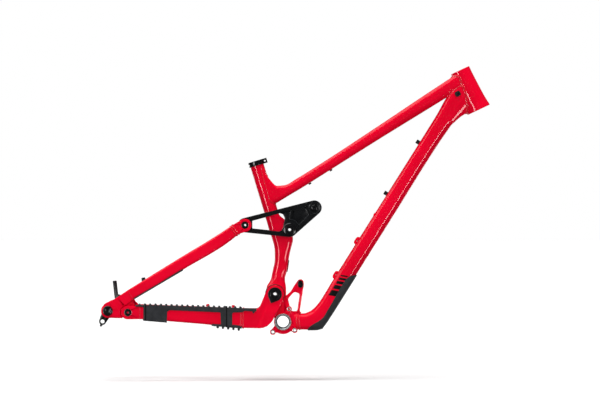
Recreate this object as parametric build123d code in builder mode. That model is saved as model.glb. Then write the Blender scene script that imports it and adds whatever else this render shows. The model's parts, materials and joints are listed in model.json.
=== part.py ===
from build123d import *

import os
from math import atan2, cos, degrees, hypot, radians, sin

os.makedirs("parts", exist_ok=True)

# Frame of reference: origin at the bottom bracket centre, +X forward, +Y left, +Z up, millimetres.
# Side-view points are (x, z) pairs on the mid-plane unless a distance to the side is given.

# Suspension pivots and axles, with the rear wheel at the bottom of its travel
MAIN_PIVOT = (-20.3, 70.3)
HORST_PIVOT = (-391.4, 25.6)
STAY_PIVOT = (-96.4, 245.8)
ROCKER_PIVOT = (16.9, 234.1)
SHOCK_TOP = (79.8, 290.1)
SHOCK_BOTTOM = (44.5, 93.5)
REAR_AXLE = (-442.3, 29.6)

# Bottom bracket: 73 mm threaded shell
SHELL_HALF = 36.5
SHELL_BORE_R = 17.4
SHELL_R = 21.1
CASTING_R = 22.3
CASTING_HALF = 30.0
CASTING_END_X = 29.0
GUIDE_BOLT_R = 36.5
GUIDE_BOLT_ANGLES = (65, -35, -135)
GUIDE_FACE_Y = -34.0
GUIDE_TAB_THICK = 7.0
GUIDE_TAB_R = 6.8
GUIDE_INSERT_R = 5.6
M6_R = 3.0

# Head tube for a 44 mm upper and a 56 mm lower headset cup
HEAD_BOTTOM = (499.0, 539.6)
HEAD_ANGLE = 115.2
HEAD_LENGTH = 111.7
HEAD_TOP_R = 25.3
HEAD_BOTTOM_R = 31.0
UPPER_CUP_R = 22.0
LOWER_CUP_R = 28.0
CUP_DEPTH = 14.0
UPPER_BORE_R = 20.5
LOWER_BORE_R = 24.5
LIP_HEIGHT = 5.0
SHOULDER_HEIGHT = 96.0

# Seat tube and its collar
SEAT_FOOT = (-31.9, 285.0)
SEAT_ANGLE = 106.94
SEAT_R = 17.45
SEATPOST_R = 15.5
SEAT_LENGTH = 128.0
SEAT_SLOT_WIDTH = 2.0
SEAT_SLOT_LENGTH = 26.0
COLLAR_FOOT = 117.5
COLLAR_HEIGHT = 12.5
COLLAR_R = 20.2
LUG_X = 22.6
LUG_BOLT_R = 3.2

# Walls and distances to the side of the mid-plane
TUBE_WALL = 1.8
MAST_WALL = 5.0
MAST_HALF = 22.0
ARM_INNER_Y = 24.5
ARM_OUTER_Y = 42.0
ROCKER_INNER_Y = 24.0
ROCKER_OUTER_Y = 32.0
EYE_INNER_Y = 33.0
EYE_OUTER_Y = 44.0
HUB_HALF = 74.0
DROPOUT_THICK = 10.0
TAB_INNER_Y = 67.0
TAB_OUTER_Y = 75.9
END_INNER_Y = 76.4
END_OUTER_Y = 87.6

# Pivot hardware radii
MAIN_AXLE_R = 8.5
MAIN_BEARING_R = 14.0
ROCKER_AXLE_R = 7.5
ROCKER_BEARING_R = 12.0
HORST_BOLT_R = 5.0
HORST_BEARING_R = 9.5
STAY_BOLT_R = 5.0
RUNNING_GAP = 0.05
OPEN_PIVOT_GAP = 5.2
SHOCK_BOLT_R = 4.0
THRU_AXLE_R = 6.0
MAIN_BOSS_R = 24.5
MAIN_BOSS_HALF = 23.5
MAIN_BORE_R = 4.6
MAIN_HEAD_R = 11.5
MAIN_HEAD_INNER_Y = 43.5
MAIN_HEAD_OUTER_Y = 46.0
COVER_R = 17.8
COVER_THICK = 1.3
COVER_CORNER = (-29, 50.5)
ROCKER_BOSS_R = 17.3
ROCKER_BORE_R = 3.6
ROCKER_HEAD_R = 11.0
ROCKER_HEAD_INNER_Y = 33.0
ROCKER_HEAD_OUTER_Y = 36.0
END_EYE_R = 17.2
END_EYE_GAP = 2.2
STAY_EYE_R = 16.5
STAY_RECESS_R = 9.2
STAY_RECESS = 3.0
STAY_HEAD_R = 8.9
STAY_BORE_R = 3.0
HORST_HEAD_R = 8.9
HORST_BORE_R = 2.2
HORST_HEAD_REACH = 1.2
TAB_RECESS = 1.5
AXLE_BORE_R = 3.5
AXLE_CAP_R = 12.7
AXLE_CAP_THICK = 4.0

# Shock mount: a fork that takes a 26 mm wide shock eye
FORK_EYE = (44.0, 98.5)
FORK_HALF = 22.0
SHOCK_EYE_HALF = 13.0
SHOCK_EYE_R = 22.0
INSERT_R = 6.4
LOWER_HEAD_R = 5.6
LOWER_NUT_R = 6.5
UPPER_HEAD_R = 8.0
UPPER_RECESS_R = 14.0
SPACER_INNER_Y = 13.5

# Small fittings
PORT_AT = (444.4, 579.9)
PORT_SCREW_AT = (1.5, -1)
DOWN_TOP = (100, 60.5)
DOWN_ANGLE = degrees(atan2(190.8, 120))
CLIP_STATIONS = (312, 466)
CLIP_LENGTH = 10.0
CLIP_TOP = 9.5
CLIP_RECESS = 2.0
CLIP_BOLT_R = 2.9
LOOP_STATIONS = (68, 170.5)
LOOP_HALF = 7.0
LOOP_SCREW_R = 1.8
LOOP_RECESS = 1.5
TOP_TUBE_ANGLE = 32.3
ACCESSORY_BOLTS = ((68, 353), (121.5, 387))
HOSE_SADDLES = ((-193, 58), (-127.5, 49))
BRIDGE_AT = (-137, 220)

# Brake bracket: two threaded posts on a rail
POST_Y = 67.5
POST_R = 5.2
POST_TILT = 6.3
REAR_POST = (-432.7, 102.5)
FRONT_POST = (-359.3, 110.6)
RAIL_INNER_Y = 62.0
RAIL_OUTER_Y = 72.7
MOUNT_BOLT_SPOTS = ((-414, 52), (-399, 61))

# The tubes, as stations: lower point, upper point, distance to the side, width, corner radius
TOP_TUBE = (
    ((-35, 297), (-58, 400), 0, 33, 11),
    ((-17, 302), (-32, 360.5), 0, 34, 11),
    ((-4, 309.5), (-16, 346), 0, 37, 11),
    ((14, 320.5), (3, 347.5), 0, 39, 11),
    ((50, 342), (36, 365), 0, 40, 11),
    ((100, 373.5), (85, 395.2), 0, 42, 11),
    ((250, 468), (234, 492.5), 0, 44, 12),
    ((380, 548), (361, 577.3), 0, 46, 13),
    ((472, 605), (452, 637), 0, 47.5, 13),
)
DOWN_TUBE = (
    ((CASTING_END_X, -19.5), (CASTING_END_X, 21), 0, 54, 13),
    ((60, -20), (52, 20.5), 0, 55, 14),
    ((86, -19.5), (67, 25), 0, 57, 15),
    ((99.5, -16), (79, 33.5), 0, 58, 16),
    ((112, 1), (89, 44.5), 0, 57.5, 16),
    ((130, 29.5), (98, 57), 0, 56.5, 15),
    ((160, 77.2), (124, 99.7), 0, 55, 15),
    ((280, 268.2), (244, 290.7), 0, 53, 15),
    ((400, 459), (364, 481.5), 0, 51, 15),
    ((430, 502), (394, 530), 0, 50.5, 15),
    ((452, 521), (412, 563), 0, 50, 15),
    ((474, 535), (434, 596), 0, 49.5, 15),
    ((497, 549), (464, 617), 0, 48.5, 15),
)
MAST = (
    ((-48.6, 279.9), (-15.2, 290.1), 0, 34.9, 16.5),
    ((-45, 266), (-10, 273), 0, 37, 16),
    ((-41.5, 255), (4, 260), 0, 40, 15),
    ((-35.3, 233.3), (22, 238), 0, 42, 15),
    ((-27, 208.4), (25.3, 208.4), 0, 41, 15),
    ((-21.5, 182.5), (19.8, 182.5), 0, 40, 15),
    ((-21.2, 157.6), (14.6, 157.6), 0, 39, 15),
    ((-26.1, 131.7), (10.9, 131.7), 0, 40, 15),
    ((-31.5, 106.7), (5.0, 106.7), 0, 42, 15),
    ((-42, 86), (8, 84), 0, 43, 14),
    ((-42, 60), (8, 60), 0, 44, 12),
    ((-32, 32), (10, 32), 0, 46, 12),
    ((-19, 4), (14, 4), 0, 48, 12),
)
CHAINSTAY = (
    ((-361, 9), (-361, 41.6), -82, 11.2, 4),
    ((-230, -2), (-230, 37.5), -61.8, 15, 6),
    ((-101, -14.5), (-101, 33), -42, 16, 6),
)
SEATSTAY = (
    ((-378.3, 59.4), (-391.8, 81.9), -79, 10, 4.4),
    ((-344.8, 79.1), (-358.9, 102.6), -78.6, 11, 5),
    ((-247.1, 136.7), (-262.5, 162.4), -62, 15, 6.5),
    ((-150, 194.3), (-166, 221), -43, 13, 6),
    ((-112.2, 223.4), (-129, 245.6), -38.5, 11, 5),
)

# Guards
YOKE_WELD_X = -101
STAY_TURN = degrees(atan2(37.6, 260))
GUARD_DEPTH = 12.0
GUARD_WALL = 2.5
STRAP_GROOVES = (-347, -143)
GROOVE_WIDTH = 2.4
GROOVE_DEPTH = 0.8
STRIP_WALL = 2.0
RIB_PITCH = 13.37
RIB_COUNT = 20
RIB_R = 2.5
PEG_PITCH = 13.3
PEG_COUNT = 5
PEG_R = 2.7


def side(y):
    """Side-view plane at a distance y left of the mid-plane; its extrusions run to the right."""
    return Plane.XZ.offset(-y)


def turned(point, angle, y=0.0):
    """Side-view plane at a point, with its local x along an angle above the forward axis."""
    reach = (cos(radians(angle)), 0, sin(radians(angle)))
    return Plane(origin=(point[0], y, point[1]), x_dir=reach, z_dir=(0, -1, 0))


def across(lower, upper, y):
    """Plane across a tube through two points of its side-view outline; local y runs between them."""
    middle = ((lower[0] + upper[0]) / 2, y, (lower[1] + upper[1]) / 2)
    rise = Vector(upper[0] - lower[0], 0, upper[1] - lower[1])
    return Plane(origin=middle, x_dir=(0, 1, 0), z_dir=Vector(0, 1, 0).cross(rise))


def along(point, angle):
    """Plane across an axis that climbs at an angle, with its normal along that axis."""
    return Plane(
        origin=(point[0], 0, point[1]),
        x_dir=(0, 1, 0),
        z_dir=(cos(radians(angle)), 0, sin(radians(angle))),
    )


def lofted(stations, inset=0.0):
    """Rounded rectangular sections joined in order; a positive inset makes the tube's inside."""
    with BuildPart() as body:
        for lower, upper, y, width, corner in stations:
            depth = hypot(upper[0] - lower[0], upper[1] - lower[1])
            with BuildSketch(across(lower, upper, y)):
                RectangleRounded(width - 2 * inset, depth - 2 * inset, corner - inset)
        loft(ruled=True)
    return body.part


def outline(points, radius=0.0):
    """A closed outline through the points with every corner rounded alike."""
    with BuildSketch() as shape:
        with BuildLine():
            Polyline(*points, close=True)
        make_face()
        if radius > 0:
            fillet(shape.vertices(), radius)
    return shape.sketch_local


def hull(*circles):
    """The outline that wraps circles given as (centre, radius)."""
    with BuildSketch() as shape:
        for centre, radius in circles:
            with Locations(centre):
                Circle(radius)
        make_hull()
    return shape.sketch_local


def slab(sketch, start, end):
    """A side-view sketch made solid from one distance to the side to another, larger one."""
    with BuildPart() as body:
        with BuildSketch(side(end)):
            add(sketch)
        extrude(amount=end - start)
    return body.part


def pin(point, start, end, radius, bore=0.0):
    """A round pin or sleeve across the frame, between two distances to the side."""
    with BuildSketch() as ring:
        with Locations(point):
            Circle(radius)
            if bore > 0:
                Circle(bore, mode=Mode.SUBTRACT)
    return slab(ring.sketch_local, start, end)


def pocket(point, start, end, size):
    """A hexagonal key socket, to be cut from a bolt head."""
    with BuildSketch() as socket:
        with Locations(point):
            RegularPolygon(size, 6)
    return slab(socket.sketch_local, start, end)


def mirrored(part):
    """The same piece on the other side of the frame."""
    with BuildPart() as twin:
        mirror(part, about=Plane.XZ)
    return twin.part


def save(name, part):
    """Label a finished piece and write it."""
    part.label = name
    export_step(part, f"parts/{name}.step")


def drilled(part, *holes):
    """A piece less the given pins and pockets."""
    with BuildPart() as body:
        add(part)
        for hole in holes:
            add(hole, mode=Mode.SUBTRACT)
    return body.part


def group(*parts):
    """Separate solids that share one node."""
    with BuildPart() as body:
        for part in parts:
            add(part)
    return body.part


def both_sides(part):
    """A piece and its twin on the other side."""
    return group(part, mirrored(part))


# ---------------------------------------------------------------- front triangle: tubes
head_axis = along(HEAD_BOTTOM, HEAD_ANGLE)
with BuildPart() as head_blank:
    with BuildSketch(turned(HEAD_BOTTOM, HEAD_ANGLE - 90)):
        with BuildLine():
            Polyline((0, HEAD_LENGTH), (0, 0), (HEAD_BOTTOM_R, 0), (HEAD_BOTTOM_R, LIP_HEIGHT))
            Spline((HEAD_BOTTOM_R, LIP_HEIGHT), (28.6, 26), (26.6, 60), (HEAD_TOP_R, SHOULDER_HEIGHT))
            Polyline((HEAD_TOP_R, SHOULDER_HEIGHT), (HEAD_TOP_R, HEAD_LENGTH), (0, HEAD_LENGTH))
        make_face()
    revolve(axis=Axis(head_axis.origin, head_axis.z_dir))

with BuildPart() as head_tube:
    add(head_blank.part)
    with BuildSketch(head_axis):
        Circle(LOWER_CUP_R)
    extrude(amount=CUP_DEPTH, mode=Mode.SUBTRACT)
    with BuildSketch(head_axis.offset(HEAD_LENGTH - CUP_DEPTH)):
        Circle(UPPER_CUP_R)
    extrude(amount=CUP_DEPTH, mode=Mode.SUBTRACT)
    with BuildSketch(head_axis.offset(CUP_DEPTH)):
        Circle(LOWER_BORE_R)
    with BuildSketch(head_axis.offset(HEAD_LENGTH - CUP_DEPTH)):
        Circle(UPPER_BORE_R)
    loft(mode=Mode.SUBTRACT)
save("head_tube", head_tube.part)

seat_axis = along(SEAT_FOOT, SEAT_ANGLE)
seat_side = turned(SEAT_FOOT, SEAT_ANGLE)
with BuildPart() as seat_blank:
    with BuildSketch(seat_axis):
        Circle(SEAT_R)
    extrude(amount=SEAT_LENGTH)

with BuildPart() as seat_tube:
    add(seat_blank.part)
    with BuildSketch(seat_axis):
        Circle(SEATPOST_R)
    extrude(amount=SEAT_LENGTH, mode=Mode.SUBTRACT)
    with BuildSketch(seat_axis.offset(SEAT_LENGTH - SEAT_SLOT_LENGTH)):
        with Locations((0, -SEAT_R)):
            Rectangle(SEAT_SLOT_WIDTH, 10)
    extrude(amount=SEAT_SLOT_LENGTH, mode=Mode.SUBTRACT)
save("seat_tube", seat_tube.part)

down_blank = lofted(DOWN_TUBE)
with BuildPart() as down_tube:
    add(down_blank)
    add(lofted(DOWN_TUBE, TUBE_WALL), mode=Mode.SUBTRACT)
    add(head_blank.part, mode=Mode.SUBTRACT)
save("down_tube", down_tube.part)

top_blank = lofted(TOP_TUBE)
with BuildPart() as top_tube:
    add(top_blank)
    add(lofted(TOP_TUBE, TUBE_WALL), mode=Mode.SUBTRACT)
    add(head_blank.part, mode=Mode.SUBTRACT)
    add(seat_blank.part, mode=Mode.SUBTRACT)
    add(down_blank, mode=Mode.SUBTRACT)
save("top_tube", top_tube.part.solids().sort_by(SortBy.VOLUME)[-1])

# ---------------------------------------------------------------- front triangle: forgings
bb_sleeve = pin((0, 0), -SHELL_HALF, SHELL_HALF, SHELL_R, SHELL_BORE_R)
save("bb_sleeve", bb_sleeve)
shell_core = pin((0, 0), -SHELL_HALF, SHELL_HALF, SHELL_R)

guide_back_y = GUIDE_FACE_Y + GUIDE_TAB_THICK
ears = [
    (GUIDE_BOLT_R * cos(radians(angle)), GUIDE_BOLT_R * sin(radians(angle)))
    for angle in GUIDE_BOLT_ANGLES
]
with BuildSketch() as casting_shape:
    Circle(CASTING_R)
    with BuildLine():
        Polyline((-15, -16.5), (-17, -25.8))
        ThreePointArc((-17, -25.8), (0, -31), (17, -25.8))
        Polyline((17, -25.8), (22, -22), (CASTING_END_X, -19.5), (CASTING_END_X, 21.5))
        Polyline((CASTING_END_X, 21.5), (22, 25.5), (6, 28), (-15, -16.5))
    make_face()
with BuildPart() as bb_casting:
    add(slab(casting_shape.sketch_local, -CASTING_HALF, CASTING_HALF))
    for ear in ears:
        root = (ear[0] * 0.55, ear[1] * 0.55)
        add(slab(hull((ear, GUIDE_TAB_R), (root, 8)), GUIDE_FACE_Y, guide_back_y))
    add(shell_core, mode=Mode.SUBTRACT)
    for ear in ears:
        add(pin(ear, GUIDE_FACE_Y, guide_back_y, GUIDE_INSERT_R), mode=Mode.SUBTRACT)

guide_inserts = group(*(pin(ear, GUIDE_FACE_Y, guide_back_y, GUIDE_INSERT_R, M6_R) for ear in ears))
save("chain_guide_inserts", guide_inserts)

rocker_boss = pin(ROCKER_PIVOT, -MAST_HALF, MAST_HALF, ROCKER_BOSS_R)
main_boss = pin(MAIN_PIVOT, -MAIN_BOSS_HALF, MAIN_BOSS_HALF, MAIN_BOSS_R)
mast_blank = group(lofted(MAST), rocker_boss, main_boss)

with BuildPart() as seat_mast:
    add(mast_blank)
    add(lofted(MAST[:9], MAST_WALL), mode=Mode.SUBTRACT)
    add(rocker_boss)
    add(pin(ROCKER_PIVOT, -MAST_HALF, MAST_HALF, ROCKER_AXLE_R), mode=Mode.SUBTRACT)
    add(main_boss)
    add(pin(MAIN_PIVOT, -ARM_INNER_Y, ARM_INNER_Y, MAIN_AXLE_R), mode=Mode.SUBTRACT)
    add(shell_core, mode=Mode.SUBTRACT)
    add(bb_casting.part, mode=Mode.SUBTRACT)
    add(seat_blank.part, mode=Mode.SUBTRACT)
save("bb_casting", bb_casting.part)
save("seat_mast", seat_mast.part.solids().sort_by(SortBy.VOLUME)[-1])

mount_outline = (
    (6, 26), (4, 50), (8, 66), (14, 71), (20, 77), (27, 89), (36, 102),
    (40, 106.5), (47, 107.5), (52, 103), (53, 96), (51, 78.8), (47, 52.9), (43, 29),
    (45, 20), (26, 18),
)
window_outline = (
    (24.5, 72), (28.5, 75.2), (33.5, 74.9), (41.2, 71.4), (42, 66), (36.5, 28.5),
    (34, 26), (22.5, 26), (20, 29), (16, 44), (13.1, 56.5), (15.8, 62),
)
insert_shape = hull(((44.5, 93.2), INSERT_R), ((44.5, 99.4), INSERT_R))
shock_room = hull((FORK_EYE, SHOCK_EYE_R), ((52, 118), SHOCK_EYE_R))
with BuildPart() as shock_mount:
    add(slab(outline(mount_outline, 1.5), -FORK_HALF, FORK_HALF))
    add(slab(outline(window_outline, 1.2), -FORK_HALF, FORK_HALF), mode=Mode.SUBTRACT)
    add(slab(shock_room, -SHOCK_EYE_HALF, SHOCK_EYE_HALF), mode=Mode.SUBTRACT)
    add(slab(insert_shape, -FORK_HALF, FORK_HALF), mode=Mode.SUBTRACT)
    add(mast_blank, mode=Mode.SUBTRACT)
    add(bb_casting.part, mode=Mode.SUBTRACT)
    add(shell_core, mode=Mode.SUBTRACT)
    add(down_blank, mode=Mode.SUBTRACT)
save("shock_mount", shock_mount.part.solids().sort_by(SortBy.VOLUME)[-1])

shock_insert = drilled(
    slab(insert_shape, -FORK_HALF, -SHOCK_EYE_HALF),
    pin(SHOCK_BOTTOM, -FORK_HALF, -SHOCK_EYE_HALF, SHOCK_BOLT_R),
)
save("shock_mount_inserts", both_sides(shock_insert))
lower_shock_bolt = drilled(
    group(
        pin(SHOCK_BOTTOM, -FORK_HALF - 0.5, FORK_HALF + 4, SHOCK_BOLT_R),
        pin(SHOCK_BOTTOM, -FORK_HALF - 2.5, -FORK_HALF, LOWER_HEAD_R),
    ),
    pocket(SHOCK_BOTTOM, -FORK_HALF - 2.5, -FORK_HALF + 2, 3),
)
save("lower_shock_bolt", lower_shock_bolt)
save("lower_shock_nut", pin(SHOCK_BOTTOM, FORK_HALF, FORK_HALF + 4, LOWER_NUT_R, SHOCK_BOLT_R))

# ---------------------------------------------------------------- front triangle: pivot hardware
main_axle = drilled(
    group(
        pin(MAIN_PIVOT, -MAIN_HEAD_INNER_Y, MAIN_HEAD_INNER_Y, MAIN_AXLE_R, MAIN_BORE_R),
        pin(MAIN_PIVOT, -MAIN_HEAD_OUTER_Y, -MAIN_HEAD_INNER_Y, MAIN_HEAD_R, MAIN_BORE_R),
    ),
    pocket(MAIN_PIVOT, -MAIN_HEAD_OUTER_Y, -ARM_OUTER_Y + 4, 6),
)
main_nut = pin(MAIN_PIVOT, MAIN_HEAD_INNER_Y, MAIN_HEAD_OUTER_Y, MAIN_HEAD_R, MAIN_BORE_R)
save("main_pivot_axle", main_axle)
save("main_pivot_nut", main_nut)

rocker_axle = drilled(
    group(
        pin(ROCKER_PIVOT, -ROCKER_HEAD_INNER_Y, ROCKER_HEAD_INNER_Y, ROCKER_AXLE_R, ROCKER_BORE_R),
        pin(ROCKER_PIVOT, -ROCKER_HEAD_OUTER_Y, -ROCKER_HEAD_INNER_Y, ROCKER_HEAD_R, ROCKER_BORE_R),
    ),
    pocket(ROCKER_PIVOT, -ROCKER_HEAD_OUTER_Y, -ROCKER_HEAD_INNER_Y, 5),
)
rocker_nut = pin(
    ROCKER_PIVOT, ROCKER_HEAD_INNER_Y, ROCKER_HEAD_OUTER_Y, ROCKER_HEAD_R, ROCKER_BORE_R
)
save("rocker_pivot_axle", rocker_axle)
save("rocker_pivot_nut", rocker_nut)

# ---------------------------------------------------------------- front triangle: seat collar
lug_centre = seat_side.from_local_coords((COLLAR_FOOT + 6.2, -LUG_X, 0))
collar_bolt_at = (lug_centre.X, lug_centre.Z)
with BuildPart() as seat_collar:
    with BuildSketch(seat_axis.offset(COLLAR_FOOT)):
        Circle(COLLAR_R)
        with Locations((0, -LUG_X)):
            RectangleRounded(18, 11.5, 2)
        Circle(SEAT_R, mode=Mode.SUBTRACT)
        with Locations((0, -LUG_X)):
            Rectangle(1.6, 16, mode=Mode.SUBTRACT)
    extrude(amount=COLLAR_HEIGHT)
    with BuildSketch(seat_side):
        with Locations((COLLAR_FOOT + 5.5, COLLAR_R + 0.6)):
            RegularPolygon(3.4, 4)
    extrude(amount=12, both=True, mode=Mode.SUBTRACT)
    add(pin(collar_bolt_at, -12, 12, LUG_BOLT_R), mode=Mode.SUBTRACT)
collar_bolt = group(
    pin(collar_bolt_at, -9, 9, LUG_BOLT_R, 2.1), pin(collar_bolt_at, -11.5, -9, 4.6, 2.1)
)
save("seat_collar", seat_collar.part)
save("seat_collar_bolt", collar_bolt)

# ---------------------------------------------------------------- front triangle: small fittings
port_plane = turned(PORT_AT, 28, -24.0)
with BuildPart() as cable_port:
    with BuildSketch(port_plane):
        RectangleRounded(14, 13, 4)
    extrude(amount=3)
    with BuildSketch(port_plane.offset(3)):
        with Locations(PORT_SCREW_AT):
            Circle(3)
    extrude(amount=-1.5, mode=Mode.SUBTRACT)
    add(down_blank, mode=Mode.SUBTRACT)
    add(top_blank, mode=Mode.SUBTRACT)
with BuildPart() as port_screw:
    with BuildSketch(port_plane.offset(1.5)):
        with Locations(PORT_SCREW_AT):
            Circle(2.7)
    extrude(amount=1.2)
save("cable_ports", both_sides(cable_port.part))
save("cable_port_screws", both_sides(port_screw.part))

down_top = turned(DOWN_TOP, DOWN_ANGLE)
clip_seats = [
    Plane(down_top.from_local_coords((station, CLIP_TOP, 0)), (0, 1, 0), down_top.y_dir)
    for station in CLIP_STATIONS
]
with BuildPart() as cable_clips:
    for station in CLIP_STATIONS:
        with BuildSketch(down_top):
            with Locations((station, CLIP_TOP - 6)):
                RectangleRounded(CLIP_LENGTH, 12, 1.2)
        extrude(amount=8, both=True)
    for seat in clip_seats:
        with BuildSketch(seat):
            Circle(CLIP_BOLT_R)
        extrude(amount=-CLIP_RECESS, mode=Mode.SUBTRACT)
    add(down_blank, mode=Mode.SUBTRACT)
with BuildPart() as clip_bolts:
    for seat in clip_seats:
        with BuildSketch(seat.offset(-CLIP_RECESS)):
            Circle(CLIP_BOLT_R)
        extrude(amount=CLIP_RECESS - 0.2)
with BuildPart() as hose_guides:
    for station in LOOP_STATIONS:
        with BuildSketch(down_top):
            with Locations((station, 1)):
                SlotOverall(22, 14)
        extrude(amount=LOOP_HALF, both=True)
        with BuildSketch(down_top.offset(LOOP_HALF)):
            with Locations((station, 1.5)):
                Circle(LOOP_SCREW_R)
        extrude(amount=-LOOP_RECESS, mode=Mode.SUBTRACT)
    with BuildSketch(down_top):
        with Locations((251, 0)):
            SlotOverall(9, 5)
    extrude(amount=5, both=True)
    add(down_blank, mode=Mode.SUBTRACT)
with BuildPart() as guide_screws:
    for station in LOOP_STATIONS:
        with BuildSketch(down_top.offset(LOOP_HALF - LOOP_RECESS)):
            with Locations((station, 1.5)):
                Circle(LOOP_SCREW_R)
        extrude(amount=LOOP_RECESS + 0.7)
    add(down_blank, mode=Mode.SUBTRACT)
save("cable_clips", cable_clips.part)
save("cable_clip_bolts", clip_bolts.part)
save("hose_guides", hose_guides.part)
save("hose_guide_screws", guide_screws.part)

below_top_tube = (sin(radians(TOP_TUBE_ANGLE)), 0, -cos(radians(TOP_TUBE_ANGLE)))
with BuildPart() as accessory_bolts:
    for spot in ACCESSORY_BOLTS:
        with BuildSketch(Plane((spot[0], 0, spot[1]), (0, 1, 0), below_top_tube)):
            Circle(4)
        extrude(amount=3.6, taper=12)
    add(top_blank, mode=Mode.SUBTRACT)
save("accessory_bolts", accessory_bolts.part)

with BuildPart() as mast_grommet:
    with BuildSketch(turned((11.6, 142), 81.5)):
        SlotOverall(31, 5)
    extrude(amount=7, both=True)
    add(mast_blank, mode=Mode.SUBTRACT)
save("mast_grommet", mast_grommet.part.solids().sort_by(Axis.X)[-1])

guard_region = (
    (63, -40), (63, -17.5), (70, -10.5), (76, -6.5), (85, -1.5), (95, 5), (103.5, 12.5),
    (112, 27), (125, 49), (137, 71), (150, 93), (160, 108.5), (172, 117.5), (186, 119),
    (215, 110), (120, -40),
)
with BuildPart() as down_tube_guard:
    add(lofted(DOWN_TUBE[:8], -GUARD_WALL))
    add(slab(outline(guard_region), -40, 40), mode=Mode.INTERSECT)
    add(down_blank, mode=Mode.SUBTRACT)
save("down_tube_guard", down_tube_guard.part)

# ---------------------------------------------------------------- chainstay
yoke_side = (
    (-101, 33), (-66, 33), (-59.3, 38), (-54.3, 49.7), (-49.4, 61.7), (-44, 76),
    (-20, 60), (1, 56), (-4.7, 43.8), (-12, 30), (-21.5, 12.5), (-25.5, 4.6), (-31.5, -3),
    (-40, -10.6), (-50, -14.8), (-60, -15.8), (-101, -14.8),
)
yoke_plan = (
    (-101, -50), (-45, -ARM_OUTER_Y), (12, -ARM_OUTER_Y), (12, -ARM_INNER_Y), (-47, -ARM_INNER_Y),
    (-47, ARM_INNER_Y), (12, ARM_INNER_Y), (12, ARM_OUTER_Y), (-45, ARM_OUTER_Y), (-101, 50),
    (-101, 34), (-89, 30), (-80, 18), (-77.5, 0), (-80, -18), (-89, -30), (-101, -34),
)
yoke_room = group(slab(outline(yoke_side), -60, 60), pin(MAIN_PIVOT, -60, 60, MAIN_BOSS_R - 1))
with BuildPart() as chainstay_yoke:
    with BuildSketch(Plane.XY.offset(-30)):
        add(outline(yoke_plan))
    extrude(amount=140)
    add(yoke_room, mode=Mode.INTERSECT)
    add(pin(MAIN_PIVOT, -60, 60, MAIN_BEARING_R), mode=Mode.SUBTRACT)
save("chainstay_yoke", chainstay_yoke.part)

main_bearing = pin(
    MAIN_PIVOT, -ARM_OUTER_Y + 1, -ARM_INNER_Y, MAIN_BEARING_R, MAIN_AXLE_R + RUNNING_GAP
)
save("main_pivot_bearings", both_sides(main_bearing))
cover_shape = hull((MAIN_PIVOT, COVER_R), (COVER_CORNER, 2.5))
cover = drilled(
    slab(cover_shape, -ARM_OUTER_Y - COVER_THICK, -ARM_OUTER_Y),
    pin(MAIN_PIVOT, -ARM_OUTER_Y - 2, -ARM_OUTER_Y, MAIN_AXLE_R + 0.4),
)
save("main_pivot_covers", both_sides(cover))

chainstay_blank = lofted(CHAINSTAY)
with BuildPart() as chainstay_tube:
    add(chainstay_blank)
    add(lofted(CHAINSTAY, TUBE_WALL), mode=Mode.SUBTRACT)
save("chainstay_tube_right", chainstay_tube.part)
save("chainstay_tube_left", mirrored(chainstay_tube.part))

end_outline = outline(((-391.4, 42.8), (-361, 41.6), (-361, 9), (-391.4, 8.4)))
end_blank = group(
    slab(end_outline, -END_OUTER_Y, -END_INNER_Y),
    pin(HORST_PIVOT, -END_OUTER_Y, -END_INNER_Y, END_EYE_R),
)
chainstay_end = drilled(end_blank, pin(HORST_PIVOT, -END_OUTER_Y, -END_INNER_Y, HORST_BEARING_R))
save("chainstay_end_right", chainstay_end)
save("chainstay_end_left", mirrored(chainstay_end))
horst_bearing = pin(
    HORST_PIVOT, -END_OUTER_Y + 1.5, -END_INNER_Y, HORST_BEARING_R, HORST_BOLT_R + RUNNING_GAP
)
save("horst_bearings", both_sides(horst_bearing))

# Guard over the drive-side chainstay: a side wall with windows, and a ribbed strip on top
stay_face = Plane(
    origin=(YOKE_WELD_X, -50, 0),
    x_dir=(cos(radians(STAY_TURN)), sin(radians(STAY_TURN)), 0),
    z_dir=(sin(radians(STAY_TURN)), -cos(radians(STAY_TURN)), 0),
)


def run(x):
    """Distance along the chainstay's outer face, forward from its weld to the yoke."""
    return (x - YOKE_WELD_X) / cos(radians(STAY_TURN))


def strip_top(x):
    """Height of the ribbed strip's top at a place along the frame."""
    return 44.4 if x < -325 else 44.4 - (x + 325) * 10 / 258


guard_outline = (
    (-372, 44.4), (-325, 44.4), (-67, 34.4), (-67, 28.5), (-72, 26), (-73, 22.5), (-77, 22.5),
    (-77.5, 27), (-97, 28.5), (-103, 25), (-126, 24.6), (-128.5, 22), (-128.5, -11.5), (-157, -9),
    (-158.5, 25), (-287, 31.2), (-292.5, 27), (-293.4, -0.3), (-352.4, 4.8), (-352.4, 39.5), (-372, 41),
)
with BuildPart() as chainstay_guard:
    with BuildSketch(stay_face.offset(-GUARD_DEPTH)):
        add(outline([(run(x), z) for x, z in guard_outline]))
    extrude(amount=GUARD_DEPTH + GUARD_WALL)
    for index in range(RIB_COUNT):
        place = -361 + index * RIB_PITCH
        with BuildSketch(stay_face.offset(-GUARD_DEPTH)):
            with Locations((run(place), strip_top(place) + 1.7)):
                Circle(RIB_R)
        extrude(amount=GUARD_DEPTH + GUARD_WALL - 1)
    for place in STRAP_GROOVES:
        with BuildSketch(stay_face.offset(GUARD_WALL)):
            with Locations((run(place), 15)):
                Rectangle(GROOVE_WIDTH, 60)
        extrude(amount=-GROOVE_DEPTH, mode=Mode.SUBTRACT)
    add(chainstay_blank, mode=Mode.SUBTRACT)
    add(chainstay_yoke.part, mode=Mode.SUBTRACT)
    add(end_blank, mode=Mode.SUBTRACT)
save("chainstay_guard", chainstay_guard.part.solids().sort_by(SortBy.VOLUME)[-1])

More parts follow.
